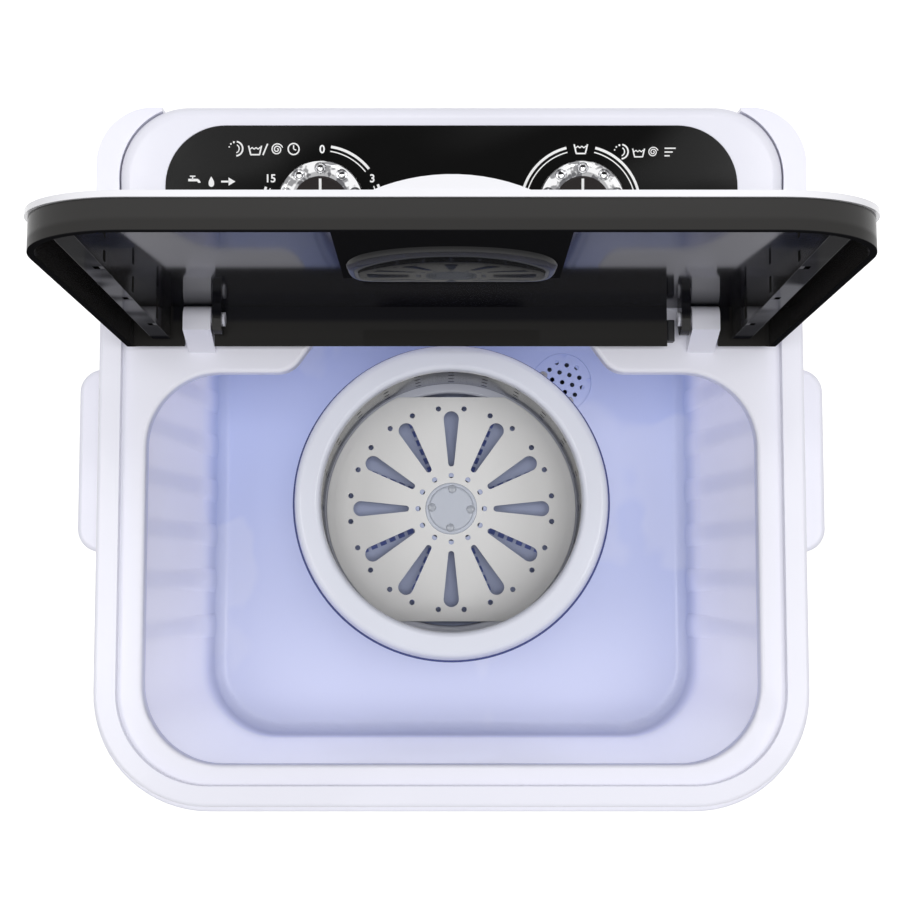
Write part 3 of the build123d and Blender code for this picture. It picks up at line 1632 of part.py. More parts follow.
def grooved_rim(x, rim_radius, groove_radius):
    """A pulley blank with a flat groove for the belt."""
    with BuildPart() as rim:
        with BuildSketch(Plane.XY.offset(pulley_bottom)):
            with Locations((x, spin_y)):
                Circle(rim_radius)
        extrude(amount=pulley_width)
        with BuildSketch(Plane.XY.offset(pulley_z - groove_width / 2)):
            with Locations((x, spin_y)):
                Circle(rim_radius + 1)
                Circle(groove_radius, mode=Mode.SUBTRACT)
        extrude(amount=groove_width, mode=Mode.SUBTRACT)
    return rim.part


with BuildPart() as motor_pulley:
    add(grooved_rim(motor_x, motor_pulley_radius, motor_groove_radius))
    with BuildSketch(Plane.XY.offset(pulley_bottom)):
        with Locations((motor_x, spin_y)):
            Circle(motor_shaft_radius + press_gap)
    extrude(amount=pulley_width, mode=Mode.SUBTRACT)
motor_pulley.part.label = "motor_pulley"
export_step(motor_pulley.part, "parts/motor_pulley.step")

with BuildPart() as drive_pulley:
    add(grooved_rim(0, drum_pulley_radius, drum_groove_radius))
    for face, depth in ((pulley_bottom, 6), (pulley_bottom + pulley_width, -6)):
        with BuildSketch(Plane.XY.offset(face)):
            with Locations((0, spin_y)):
                Circle(drum_groove_radius - 6)
                Circle(18, mode=Mode.SUBTRACT)
        extrude(amount=depth, mode=Mode.SUBTRACT)
    with BuildSketch(Plane.XY.offset(pulley_bottom)):
        with Locations((0, spin_y)):
            with PolarLocations(38, 6):
                Circle(13)
            Circle(shaft_radius + press_gap)
    extrude(amount=pulley_width, mode=Mode.SUBTRACT)
drive_pulley.part.label = "drive_pulley"
export_step(drive_pulley.part, "parts/drive_pulley.step")


def belt_outline(swell):
    """The belt's path around both pulleys, at a distance from their grooves."""
    with BuildSketch() as outline:
        with Locations((0, spin_y)):
            Circle(drum_groove_radius + belt_gap + swell)
        with Locations((motor_x, spin_y)):
            Circle(motor_groove_radius + belt_gap + swell)
        make_hull()
    return outline.sketch


with BuildPart() as drive_belt:
    with BuildSketch(Plane.XY.offset(pulley_z - belt_width / 2)):
        add(belt_outline(belt_thickness))
        add(belt_outline(0), mode=Mode.SUBTRACT)
    extrude(amount=belt_width)
drive_belt.part.label = "drive_belt"
export_step(drive_belt.part, "parts/drive_belt.step")

# Spin shaft and the pulsator with its six-sided hub and swept vanes
with BuildPart() as drive_shaft:
    with BuildSketch(spin_plane.offset(shaft_bottom)):
        Circle(shaft_radius)
    extrude(amount=shaft_top - shaft_bottom)
    with BuildSketch(spin_plane.offset(shaft_top)):
        Circle(screw_radius + press_gap)
    extrude(amount=-16, mode=Mode.SUBTRACT)
drive_shaft.part.label = "drive_shaft"
export_step(drive_shaft.part, "parts/drive_shaft.step")

pulsator_bottom = dish_z + pulsator_gap
core_top = pulsator_bottom + pulsator_core_height
screw_seat = shaft_top + 5.5
with BuildPart() as pulsator:
    with BuildSketch(spin_side):
        with BuildLine():
            Polyline(
                (0, pulsator_bottom),
                (pulsator_radius - 1, pulsator_bottom),
                (pulsator_radius, pulsator_bottom + 1.5),
                (pulsator_radius - 1, pulsator_bottom + 3),
                (pulsator_core + 6, core_top - 3),
                (pulsator_core, core_top),
                (0, core_top),
                close=True,
            )
        make_face()
    revolve(axis=spin_axis)
    with BuildSketch(spin_plane.offset(core_top)):
        RegularPolygon(hub_circumradius, 6)
    extrude(amount=hub_height)
    chamfer(pulsator.edges().group_by(Axis.Z)[-1], length=1)
    for turn in range(vane_count):
        with BuildSketch(spin_side.rotated((0, 0, 360 / vane_count * turn + 45))):
            with BuildLine():
                Polyline(
                    (pulsator_core + 4, pulsator_bottom + 2),
                    (pulsator_radius - 4, pulsator_bottom + 2),
                    (pulsator_radius - 14, pulsator_bottom + vane_height),
                    (pulsator_core + 4, core_top - 1),
                    close=True,
                )
            make_face()
        extrude(amount=vane_half_width, both=True)
    with BuildSketch(spin_plane.offset(pulsator_bottom)):
        Circle(shaft_radius + press_gap)
    extrude(amount=shaft_top + 0.5 - pulsator_bottom, mode=Mode.SUBTRACT)
    with BuildSketch(spin_plane.offset(shaft_top)):
        Circle(screw_radius + press_gap)
    extrude(amount=hub_top - shaft_top, mode=Mode.SUBTRACT)
    with BuildSketch(spin_plane.offset(screw_seat)):
        Circle(screw_head_radius + 1)
    extrude(amount=hub_top - screw_seat, mode=Mode.SUBTRACT)
pulsator.part.label = "pulsator"
export_step(pulsator.part, "parts/pulsator.step")

with BuildPart() as pulsator_screw:
    with BuildSketch(spin_plane.offset(screw_seat)):
        Circle(screw_head_radius + 0.5)
    extrude(amount=3)
    with BuildSketch(spin_plane.offset(screw_seat)):
        Circle(screw_radius)
    extrude(amount=-pulsator_screw_length)
    with BuildSketch(spin_plane.offset(screw_seat + 1.5)):
        Rectangle(6, 1)
        Rectangle(1, 6)
    extrude(amount=2, mode=Mode.SUBTRACT)
pulsator_screw.part.label = "pulsator_screw"
export_step(pulsator_screw.part, "parts/pulsator_screw.step")

# Spin basket over the pulsator's hub
base_rim_outer = 85.5
base_rim_height = 14.0
wall_bottom = basket_floor_top
wall_top = ring_top - wall_top_drop
ring_foot = ring_top - ring_height
plate_under = plate_top - plate_thickness
support_ring_outer = 69.5
support_ring_inner = 67.2
sleeve_bottom = core_top + 0.5
wall_hole_middle = wall_top - 10 - (wall_hole_rows - 1) / 2 * wall_hole_pitch
ring_skin = 2.4
ring_lip = ring_top - 8
clamp_height = 18.2
clamp_width = 2.4

with BuildPart() as basket_wall:
    with BuildSketch(spin_plane.offset(wall_bottom)):
        Circle(basket_wall_outer)
        Circle(basket_wall_outer - basket_wall_thickness, mode=Mode.SUBTRACT)
    extrude(amount=wall_top - wall_bottom)
    for column in range(wall_hole_columns // 2):
        column_plane = spin_side.rotated((0, 0, 360 / wall_hole_columns * column))
        with BuildSketch(column_plane):
            with Locations((0, wall_hole_middle)):
                with GridLocations(1, wall_hole_pitch, 1, wall_hole_rows):
                    Circle(wall_hole_radius)
        extrude(amount=basket_wall_outer + 1, both=True, mode=Mode.SUBTRACT)
basket_wall.part.label = "basket_wall"
export_step(basket_wall.part, "parts/basket_wall.step")

with BuildPart() as basket_ring:
    with BuildSketch(spin_side):
        with BuildLine():
            FilletPolyline(
                (ring_foot_radius, ring_foot),
                (ring_foot_radius - 0.6, ring_foot + 8),
                (ring_outer, ring_top),
                (ring_inner, ring_top),
                (ring_inner, ring_lip),
                radius=[10, 4, 3.5],
            )
            Line((ring_inner, ring_lip), (ring_inner + ring_skin, ring_lip))
            FilletPolyline(
                (ring_inner + ring_skin, ring_lip),
                (ring_inner + ring_skin, ring_top - ring_skin),
                (ring_outer - ring_skin, ring_top - ring_skin),
                (ring_foot_radius - 0.6 - ring_skin, ring_foot + 8),
                (ring_foot_radius - ring_skin, ring_foot),
                radius=[1.1, 1.6, 8],
            )
            Line((ring_foot_radius - ring_skin, ring_foot), (ring_foot_radius, ring_foot))
        make_face()
    revolve(axis=spin_axis)
    with BuildSketch(spin_plane.offset(ring_top - 20)):
        Circle(basket_wall_outer + clamp_width)
        Circle(basket_wall_outer + running_gap, mode=Mode.SUBTRACT)
    extrude(amount=clamp_height)
basket_ring.part.label = "basket_ring"
export_step(basket_ring.part, "parts/basket_ring.step")

with BuildPart() as basket_lip:
    with BuildSketch(spin_plane.offset(ring_foot - lip_thickness)):
        Circle(lip_radius)
        Circle(basket_wall_outer + running_gap, mode=Mode.SUBTRACT)
    extrude(amount=lip_thickness)
    fillet(basket_lip.edges().group_by(Axis.Z)[0].sort_by(SortBy.LENGTH)[-1], radius=1)
basket_lip.part.label = "basket_lip"
export_step(basket_lip.part, "parts/basket_lip.step")

with BuildPart() as basket_base:
    with BuildSketch(spin_plane.offset(hub_top)):
        Circle(base_rim_outer)
    extrude(amount=basket_floor)
    fillet(basket_base.edges().group_by(Axis.Z)[0], radius=2)
    with BuildSketch(spin_plane.offset(basket_floor_top)):
        Circle(base_rim_outer)
        Circle(basket_wall_outer + running_gap, mode=Mode.SUBTRACT)
    extrude(amount=base_rim_height)
    with BuildSketch(spin_plane.offset(basket_floor_top)):
        Circle(support_ring_outer)
        Circle(support_ring_inner, mode=Mode.SUBTRACT)
        Circle(sleeve_radius)
        Circle(sleeve_radius - 3, mode=Mode.SUBTRACT)
    extrude(amount=plate_under - basket_floor_top)
    with BuildSketch(spin_plane.offset(sleeve_bottom)):
        Circle(sleeve_radius)
        RegularPolygon(hub_circumradius + 0.1, 6, mode=Mode.SUBTRACT)
    extrude(amount=hub_top - sleeve_bottom)
    with BuildSketch(spin_plane.offset(hub_top)):
        for row in range(ladder_rows):
            with Locations(Location((0, 0), 360 / ladder_rows * (row + 0.5))):
                for step in range(ladder_steps):
                    with Locations((ladder_start + step * ladder_pitch, 0)):
                        Rectangle(ladder_slot, 2 * ladder_slot)
        Circle(pip_circle / 2)
    extrude(amount=basket_floor, mode=Mode.SUBTRACT)
basket_base.part.label = "basket_base"
export_step(basket_base.part, "parts/basket_base.step")

with BuildPart() as basket_collar:
    with BuildSketch(spin_plane.offset(basket_floor_top)):
        Circle(basket_wall_outer - basket_wall_thickness - running_gap)
        Circle(collar_inner, mode=Mode.SUBTRACT)
    extrude(amount=collar_height)
    fillet(basket_collar.edges().group_by(Axis.Z)[-1].sort_by(SortBy.LENGTH)[0], radius=2)
basket_collar.part.label = "basket_collar"
export_step(basket_collar.part, "parts/basket_collar.step")

with BuildPart() as basket_plate:
    with BuildSketch(spin_plane.offset(plate_under)):
        Circle(plate_radius)
        Rectangle(2 * plate_radius, 2 * plate_flat, mode=Mode.INTERSECT)
    extrude(amount=plate_thickness)
    with BuildSketch(spin_plane.offset(plate_top - 0.6)):
        Circle(plate_radius)
        Circle(plate_radius - 4.5, mode=Mode.SUBTRACT)
    extrude(amount=1, mode=Mode.SUBTRACT)
    with BuildSketch(spin_plane.offset(plate_under)):
        for turn in range(slot_count):
            with Locations(Location((0, 0), 360 / slot_count * turn)):
                with BuildSketch(mode=Mode.PRIVATE) as teardrop:
                    with Locations((slot_inner, 0)):
                        Circle(slot_inner_radius)
                    with Locations((slot_outer, 0)):
                        Circle(slot_outer_radius)
                    make_hull()
                add(teardrop.sketch)
                with Locations((inner_hole_circle, 0)):
                    Circle(plate_hole_radius)
        for sign in (-1, 1):
            with PolarLocations(
                plate_hole_circle, slot_count, start_angle=sign * plate_hole_angle
            ):
                Circle(plate_hole_radius)
        Circle(hub_cap_radius - 4)
    extrude(amount=plate_thickness, mode=Mode.SUBTRACT)
basket_plate.part.label = "basket_plate"
export_step(basket_plate.part, "parts/basket_plate.step")

with BuildPart() as basket_hub_cap:
    with BuildSketch(spin_plane.offset(plate_top)):
        Circle(hub_ring_radius)
    extrude(amount=1.2)
    fillet(basket_hub_cap.edges().group_by(Axis.Z)[-1], radius=1)
    with BuildSketch(spin_plane.offset(plate_top)):
        Circle(hub_cap_radius)
    extrude(amount=3)
    fillet(basket_hub_cap.edges().group_by(Axis.Z)[-1], radius=1.4)
    with BuildSketch(spin_plane.offset(plate_top + 3)):
        with PolarLocations(pip_circle, 4):
            Circle(pip_radius)
            Circle(pip_radius - 0.6, mode=Mode.SUBTRACT)
    extrude(amount=0.5)
    with BuildSketch(spin_plane.offset(plate_under)):
        Circle(hub_cap_radius - 4 - running_gap)
    extrude(amount=plate_thickness)
basket_hub_cap.part.label = "basket_hub_cap"
export_step(basket_hub_cap.part, "parts/basket_hub_cap.step")
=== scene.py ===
import json
import math

import bpy
import numpy as np
from mathutils import Matrix


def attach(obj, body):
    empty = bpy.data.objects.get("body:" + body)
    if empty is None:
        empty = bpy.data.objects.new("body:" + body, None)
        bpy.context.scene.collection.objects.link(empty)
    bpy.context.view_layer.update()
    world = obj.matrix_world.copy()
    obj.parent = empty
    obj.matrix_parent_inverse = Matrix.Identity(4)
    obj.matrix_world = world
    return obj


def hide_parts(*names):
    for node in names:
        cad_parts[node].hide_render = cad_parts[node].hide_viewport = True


# A compact single-tub washing machine, lid open, seen from above. Metres, +Z up, -Y front.
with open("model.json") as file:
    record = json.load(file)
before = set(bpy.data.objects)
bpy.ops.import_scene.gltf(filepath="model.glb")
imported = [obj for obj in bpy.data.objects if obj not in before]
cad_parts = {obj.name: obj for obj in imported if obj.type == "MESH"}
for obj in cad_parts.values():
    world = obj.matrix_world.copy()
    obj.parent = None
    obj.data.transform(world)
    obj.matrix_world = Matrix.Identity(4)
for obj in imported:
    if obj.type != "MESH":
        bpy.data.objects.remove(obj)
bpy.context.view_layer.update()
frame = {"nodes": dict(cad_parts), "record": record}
nodes = frame["nodes"]
bodyOfNode = {node: body for body, group in frame["record"]["behaviour"]["bodies"].items() for node in group}
slotOfNode = {entry["node"]: entry["material_slot"] for entry in frame["record"]["subparts"]}
print("frame loaded:", len(nodes), "nodes")


def plug(tree, socket, value):
    if isinstance(value, Wire):
        tree.links.new(value.socket, socket)
    elif hasattr(value, "__len__") and len(value) == 3 and len(socket.default_value) == 4:
        socket.default_value = (*value, 1.0)
    else:
        socket.default_value = value


# A new node: its settings come first, then the values or links of its sockets
def addNode(tree, kind, settings=None, sockets=None, out=0):
    node = tree.nodes.new(kind)
    for name, value in (settings or {}).items():
        setattr(node, name, value)
    for name, value in (sockets or {}).items():
        plug(tree, node.inputs[name], value)
    return Wire(tree, node.outputs[out])


# One output of a node, so that shader maths reads as sums
class Wire:
    def __init__(self, tree, socket):
        self.tree = tree
        self.socket = socket

    def math(self, operation, *others, swap=False):
        terms = (*others, self) if swap else (self, *others)
        return addNode(self.tree, "ShaderNodeMath", {"operation": operation}, dict(enumerate(terms)))

    def __add__(self, other):
        return self.math("ADD", other)

    def __radd__(self, other):
        return self.math("ADD", other, swap=True)

    def __sub__(self, other):
        return self.math("SUBTRACT", other)

    def __rsub__(self, other):
        return self.math("SUBTRACT", other, swap=True)

    def __mul__(self, other):
        return self.math("MULTIPLY", other)

    def __rmul__(self, other):
        return self.math("MULTIPLY", other, swap=True)

    def __abs__(self):
        return self.math("ABSOLUTE")

    def ease(self, start, end):  # 0 before start, 1 after end, with a soft run between
        sockets = {"Value": self, "From Min": start, "From Max": end}
        return addNode(self.tree, "ShaderNodeMapRange", {"interpolation_type": "SMOOTHSTEP"}, sockets)


# A material under construction
class Finish:
    def __init__(self, name, **sockets):
        self.material = bpy.data.materials.new(name)
        self.material.use_nodes = True
        self.tree = self.material.node_tree
        self.shader = self.tree.nodes["Principled BSDF"]
        self.place = self.node("ShaderNodeTexCoord", out="Object")
        self.set(**sockets)

    def node(self, kind, settings=None, sockets=None, out=0):
        return addNode(self.tree, kind, settings, sockets, out)

    def set(self, **sockets):  # baseColor is the Base Color socket, and so on
        for name, value in sockets.items():
            spoken = "".join(" " + letter if letter.isupper() else letter for letter in name)
            spoken = spoken[0].upper() + spoken[1:].replace("I O R", "IOR")
            plug(self.tree, self.shader.inputs[spoken], value)

    def axes(self):
        split = self.node("ShaderNodeSeparateXYZ", None, {0: self.place}).socket.node
        return [Wire(self.tree, output) for output in split.outputs]

    def joined(self, x, y, z):
        return self.node("ShaderNodeCombineXYZ", None, {"X": x, "Y": y, "Z": z})

    def noise(self, scale, detail=2.0, roughness=0.5, place=None):
        sockets = {"Vector": place or self.place, "Scale": scale, "Detail": detail, "Roughness": roughness}
        return self.node("ShaderNodeTexNoise", None, sockets)

    def between(self, factor, low, high):
        return self.node("ShaderNodeMix", {"data_type": "RGBA"}, {0: factor, 6: low, 7: high}, 2)

    def bump(self, height, distance):
        sockets = {"Height": height, "Distance": distance, "Strength": 1.0}
        self.set(normal=self.node("ShaderNodeBump", None, sockets, "Normal"))


def toned(colour, share):
    return tuple(share * part for part in colour)


# Moulded plastic: a fine skin, a slow drift of tone, and a soft orange-peel in the gloss.
# A look changes what it names, and the rest is common to all.
mould = {
    "driftScale": 7.0,
    "driftRun": (0.35, 0.65),
    "deepTone": 0.955,
    "skinScale": 1400.0,
    "skin": 0.4,
    "peelScale": 120.0,
    "peel": 1.0,
    "depth": 0.00002,
    "spread": 0.08,
    "specular": 0.5,
    "coat": 0.0,
    "coatRoughness": 0.08,
}
plastics = {
    "body_white": {"colour": (0.88, 0.88, 0.975), "roughness": 0.3, "coat": 0.2, "peelScale": 90.0},
    "cover_white": {"colour": (0.84, 0.845, 0.9), "roughness": 0.5, "skin": 1.0},
    "base_black": {"colour": (0.02, 0.02, 0.023), "roughness": 0.55, "skin": 1.2},
    "foot_rubber": {"colour": (0.018, 0.018, 0.02), "roughness": 0.75, "skin": 2.0},
    "pipe_grey": {"colour": (0.28, 0.3, 0.33), "roughness": 0.5},
    "switch_white": {"colour": (0.72, 0.72, 0.68), "roughness": 0.5},
    "housing_plastic": {"colour": (0.55, 0.58, 0.66), "roughness": 0.5},
    "seal_rubber": {"colour": (0.015, 0.015, 0.015), "roughness": 0.7, "skin": 2.0},
    "lid_white": {"colour": (0.86, 0.86, 0.9), "roughness": 0.22, "coat": 0.4},
    "knob_black": {"colour": (0.012, 0.008, 0.008), "roughness": 0.15, "coat": 0.15, "specular": 0.15},
    "pointer_white": {"colour": (0.9, 0.9, 0.9), "roughness": 0.4},
    "pulsator_blue": {"colour": (0.22, 0.27, 0.5), "roughness": 0.4},
    "ring_white": {"colour": (0.8, 0.82, 0.92), "roughness": 0.3, "coat": 0.25},
    "lip_navy": {"colour": (0.035, 0.05, 0.2), "roughness": 0.4},
    "basket_blue": {"colour": (0.5, 0.55, 0.74), "roughness": 0.42},
    "plate_grey": {"colour": (0.95, 0.945, 0.94), "roughness": 0.33, "coat": 0.2, "skin": 0.8},
    "cap_clear": {"colour": (0.66, 0.7, 0.8), "roughness": 0.16, "coat": 0.6},
}
paints = {
    "bracket_steel": {"colour": (0.09, 0.095, 0.105), "roughness": 0.4, "peel": 3.0},
    "motor_steel": {"colour": (0.15, 0.165, 0.18), "roughness": 0.38, "peel": 3.0},
}


def mouldedPlastic(name, look):
    look = {**mould, **look}
    finish = Finish(name)
    drift = finish.noise(look["driftScale"])
    skin = finish.noise(look["skinScale"], 2.0, 0.6)
    peel = finish.noise(look["peelScale"], 1.0)
    deep = toned(look["colour"], look["deepTone"])
    finish.set(
        baseColor=finish.between(drift.ease(*look["driftRun"]), deep, look["colour"]),
        roughness=look["roughness"] + (skin - 0.5) * look["spread"],
        specularIORLevel=look["specular"],
        coatWeight=look["coat"],
        coatRoughness=look["coatRoughness"],
    )
    finish.bump(skin * look["skin"] + peel * look["peel"], look["depth"])
    return finish.material


# Metal with a fine grain in its roughness and faint tone changes
alloy = {
    "grainScale": 900.0,
    "driftScale": 25.0,
    "driftRun": (0.3, 0.7),
    "dullTone": 0.84,
    "depth": 0.00001,
    "spread": 0.12,
}
metals = {
    "screw_steel": {"colour": (0.62, 0.6, 0.52), "roughness": 0.3},
    "capacitor_metal": {"colour": (0.7, 0.71, 0.73), "roughness": 0.35},
    "bearing_steel": {"colour": (0.72, 0.73, 0.74), "roughness": 0.15},
    "pulley_alloy": {"colour": (0.62, 0.62, 0.64), "roughness": 0.42, "depth": 0.00004},
    "winding_copper": {"colour": (0.6, 0.3, 0.16), "roughness": 0.4},
    "core_steel": {"colour": (0.42, 0.42, 0.42), "roughness": 0.4},
}


def metal(name, look):
    look = {**alloy, **look}
    finish = Finish(name)
    grain = finish.noise(look["grainScale"], 3.0, 0.6)
    drift = finish.noise(look["driftScale"], 3.0)
    dull = toned(look["colour"], look["dullTone"])
    finish.set(
        baseColor=finish.between(drift.ease(*look["driftRun"]), dull, look["colour"]),
        metallic=1.0,
        roughness=look["roughness"] + (grain - 0.5) * look["spread"],
    )
    finish.bump(grain, look["depth"])
    return finish.material


finishes = {name: mouldedPlastic(name, look) for name, look in {**plastics, **paints}.items()}
finishes.update({name: metal(name, look) for name, look in metals.items()})

# The wash tub: painted light makes it paler up its walls and towards the front, and painted shade
# makes it bluer low down and at the back under the lid, with soft smears on its floor. The glow
# colours are painted light as well, an emission on the walls and the back though the tub is no lamp.
# Each run is where a change of colour starts and where it is complete, in metres along Y or Z.
tub = {
    "colour": (0.57, 0.62, 0.87),
    "deep": (0.53, 0.59, 0.86),
    "front": (0.67, 0.7, 0.88),
    "frontRun": (-0.17, 0.02),
    "wall": (0.9, 0.895, 0.97),
    "wallRun": (0.28, 0.33),
    "wallShare": 0.9,
    "smear": (0.74, 0.76, 0.9),
    "smearShare": 0.45,
    "frontGlow": (0.0, 0.0, 0.0),
    "backGlow": (0.055, 0.065, 0.09),
    "glowRun": (-0.15, 0.05),
    "wallGlow": (0.185, 0.18, 0.21),
    "wallGlowRun": (0.275, 0.31),
    "frontWallGlow": (0.3, 0.3, 0.33),
    "frontWallRun": (-0.165, -0.135),
    "glowEnd": (0.448, 0.456),
    "roughness": 0.3,
}
# Painted shade of the soft ribs of the side walls: a wave along Y between two ends, above the floor's curve,
# that dims the painted glow in bands
ribs = {
    "shade": (0.05, 0.055, 0.1),
    "share": 0.5,
    "start": -0.096,
    "pitch": 0.03,
    "side": (0.135, 0.16),
    "frontEnd": (-0.115, -0.1),
    "backEnd": (0.055, 0.07),
    "foot": (0.29, 0.34),
}


def tubPlastic():
    finish = Finish("tub_blue")
    x, y, z = finish.axes()
    drift = finish.noise(5.0)
    skin = finish.noise(1400.0, 2.0, 0.6)
    swept = finish.noise(3.0, 1.0, 0.5, finish.joined(x * 2.2, y, z))
    smear = finish.noise(10.0, 3.0, 0.45, finish.joined(x + swept * 0.12, y * 0.8, z)).ease(0.52, 0.56)
    base = finish.between(drift.ease(0.35, 0.65), tub["deep"], tub["colour"])
    # Painted light and shade: paler towards the front, bluer at the back under the lid
    base = finish.between(1.0 - y.ease(*tub["frontRun"]), base, tub["front"])
    base = finish.between(smear * tub["smearShare"], base, tub["smear"])
    # Painted light: paler up the walls
    base = finish.between(z.ease(*tub["wallRun"]) * tub["wallShare"], base, tub["wall"])
    # Painted light: the glow, an emission at the back of the floor and on the walls
    glow = finish.between(y.ease(*tub["glowRun"]), tub["frontGlow"], tub["backGlow"])
    wallGlow = finish.between(1.0 - y.ease(*tub["frontWallRun"]), tub["wallGlow"], tub["frontWallGlow"])
    glow = finish.between(z.ease(*tub["wallGlowRun"]), glow, wallGlow)
    # Painted shade: darker bands of the glow along the ribs
    swell = ((y - ribs["start"]) * (2 * math.pi / ribs["pitch"])).math("COSINE").ease(-0.2, 1.0)
    between = y.ease(*ribs["frontEnd"]) * (1.0 - y.ease(*ribs["backEnd"]))
    ribbed = abs(x).ease(*ribs["side"]) * between * z.ease(*ribs["foot"])
    glow = finish.between(swell * ribbed * ribs["share"], glow, ribs["shade"])
    finish.set(
        baseColor=base,
        emissionColor=finish.between(z.ease(*tub["glowEnd"]), glow, (0.0, 0.0, 0.0)),
        emissionStrength=1.0,
        roughness=tub["roughness"] + (skin - 0.5) * 0.06 + smear * 0.06,
        coatWeight=0.15,
        coatRoughness=0.1,
    )
    finish.bump(skin * 0.3 + finish.noise(40.0, 1.0) * 2.0, 0.00002)
    return finish.material


finishes["tub_blue"] = tubPlastic()

# The rolled steel wall: upright streaks round the basket's axis, darker low down, painted shade near
# the top under the ring, a warm cast at the sides, and a scalloped line of painted glints under the lip
steel = {
    "axisY": -0.0206,
    "colour": (0.18, 0.18, 0.175),
    "dark": (0.02, 0.02, 0.022),
    "warm": (0.17, 0.15, 0.08),
    "warmSide": (0.055, 0.08),
    "warmShare": 0.7,
    "foot": (0.12, 0.14, 0.24),
    "footRun": (0.315, 0.36),
    "topRun": (0.37, 0.4),
    "topShare": 0.85,
    "glint": (0.85, 0.85, 0.86),
    "glintStart": (0.4135, 0.415),
    "glintEnd": (0.4175, 0.419),
    "scallops": 34.0,
    "scallopDepth": 0.003,
    "metal": 0.6,
    "dullRun": (0.36, 0.4),
    "dullShare": 0.6,
    "specular": 0.1,
    "roughness": 0.16,
}


def steelWall():
    finish = Finish("basket_steel")
    x, y, z = finish.axes()
    turn = x.math("ARCTAN2", y - steel["axisY"])
    rolled = finish.joined(turn, z * 0.35, 0.0)
    broad = finish.noise(5.5, 2.0, 0.5, rolled)
    streak = finish.noise(28.0, 3.0, 0.65, rolled)
    hair = finish.noise(260.0, 2.0, 0.7, finish.joined(turn, z * 0.05, 0.0))
    tone = broad.ease(0.3, 0.7) * 0.55 + streak.ease(0.25, 0.75) * 0.45
    base = finish.between(tone, steel["dark"], steel["colour"])
    sideways = abs(x).ease(*steel["warmSide"]) * streak.ease(0.4, 0.6) * steel["warmShare"]
    base = finish.between(sideways, base, steel["warm"])
    base = finish.between(1.0 - z.ease(*steel["footRun"]), base, steel["foot"])
    # Painted shade: the top of the wall darkens under the ring
    base = finish.between(z.ease(*steel["topRun"]) * steel["topShare"], base, steel["dark"])
    # Painted glints: a scalloped band of bright, fully metallic colour under the lip
    level = z + (turn * steel["scallops"] + broad * 6.0).math("SINE") * steel["scallopDepth"]
    glint = level.ease(*steel["glintStart"]) * (1.0 - level.ease(*steel["glintEnd"]))
    glint = glint * streak.ease(0.35, 0.55)
    # Painted shade too: the wall grows less metallic towards the top
    sheen = steel["metal"] * (1.0 - z.ease(*steel["dullRun"]) * steel["dullShare"])
    finish.set(
        baseColor=finish.between(glint, base, steel["glint"]),
        metallic=sheen + (1.0 - sheen) * glint,
        specularIORLevel=steel["specular"],
        roughness=steel["roughness"] + (hair - 0.5) * 0.16,
    )
    finish.bump(hair * 0.5 + broad * 8.0, 0.00004)
    return finish.material


finishes["basket_steel"] = steelWall()

# The glossy black panel: near-black, with a broad soft sheen in places
fascia = {"colour": (0.0045, 0.0045, 0.0045), "roughness": 0.1, "specular": 0.03, "sheen": 0.35}


def fasciaGloss():
    finish = Finish("fascia_black")
    x, y, _ = finish.axes()
    patch = finish.noise(9.0, 1.0, 0.4, finish.joined(x, y * 1.6, 0.0))
    skin = finish.noise(700.0)
    finish.set(
        baseColor=fascia["colour"],
        roughness=fascia["roughness"] + (skin - 0.5) * 0.03,
        specularIORLevel=fascia["specular"],
        coatWeight=patch.ease(0.45, 0.62) * fascia["sheen"],
        coatRoughness=0.15,
    )
    finish.bump(skin, 0.000002)
    return finish.material


finishes["fascia_black"] = fasciaGloss()

# The lid's own frame as it stands open: along the lid from its hinge, and out from its underside
hinge = {"y": 0.079, "z": 0.4696, "turn": math.radians(91.8)}

# The lid's smoked moulding: dark, glossy on its panel and walls, dull on its rims and round the pull.
# Levels are measured out from the underside, sides across the lid and ends along it.
smoke = {
    "colour": (0.026, 0.025, 0.024),
    "rim": (0.01, 0.01, 0.011),
    "rimLevel": (-0.0152, -0.0149),
    "window": (0.009, 0.009, 0.012),
    "windowLevel": (-0.002, 0.002),
    "windowSide": (0.156, 0.158),
    "windowEnd": (-0.256, -0.254),
    "pullLevel": (-0.006, -0.004),
    "pullSide": (0.0495, 0.05),
    "pullEnd": (-0.2565, -0.2555),
    "gloss": 0.6,
    "skirtGloss": 0.35,
    "skirtLevel": (-0.0115, -0.009),
    "roughness": 0.07,
}


def smokedLid():
    finish = Finish("lid_smoke")
    x, y, z = finish.axes()
    sine = math.sin(hinge["turn"])
    cosine = math.cos(hinge["turn"])
    outward = (y - hinge["y"]) * sine + (z - hinge["z"]) * cosine
    along = (y - hinge["y"]) * cosine - (z - hinge["z"]) * sine
    overRim = outward.ease(*smoke["rimLevel"])
    overSkirt = outward.ease(*smoke["skirtLevel"])
    window = outward.ease(*smoke["windowLevel"]) * (1.0 - abs(x).ease(*smoke["windowSide"]))
    window = window * along.ease(*smoke["windowEnd"])
    roundPull = (1.0 - abs(x).ease(*smoke["pullSide"])) * (1.0 - outward.ease(*smoke["pullLevel"]))
    dull = (1.0 - overRim) + roundPull * along.ease(*smoke["pullEnd"])
    gloss = smoke["skirtGloss"] + overSkirt * (smoke["gloss"] - smoke["skirtGloss"])
    gloss = gloss * (1.0 - dull.ease(0.0, 1.0))
    skin = finish.noise(900.0)
    smear = finish.noise(14.0)
    base = finish.between(overRim, smoke["rim"], smoke["colour"])
    finish.set(
        baseColor=finish.between(window, base, smoke["window"]),
        roughness=0.5 + (skin - 0.5) * 0.1,
        specularIORLevel=0.0,
        coatWeight=gloss * (0.9 + smear * 0.1),
        coatRoughness=smoke["roughness"],
    )
    finish.bump(skin, 0.000002)
    return finish.material


finishes["lid_smoke"] = smokedLid()
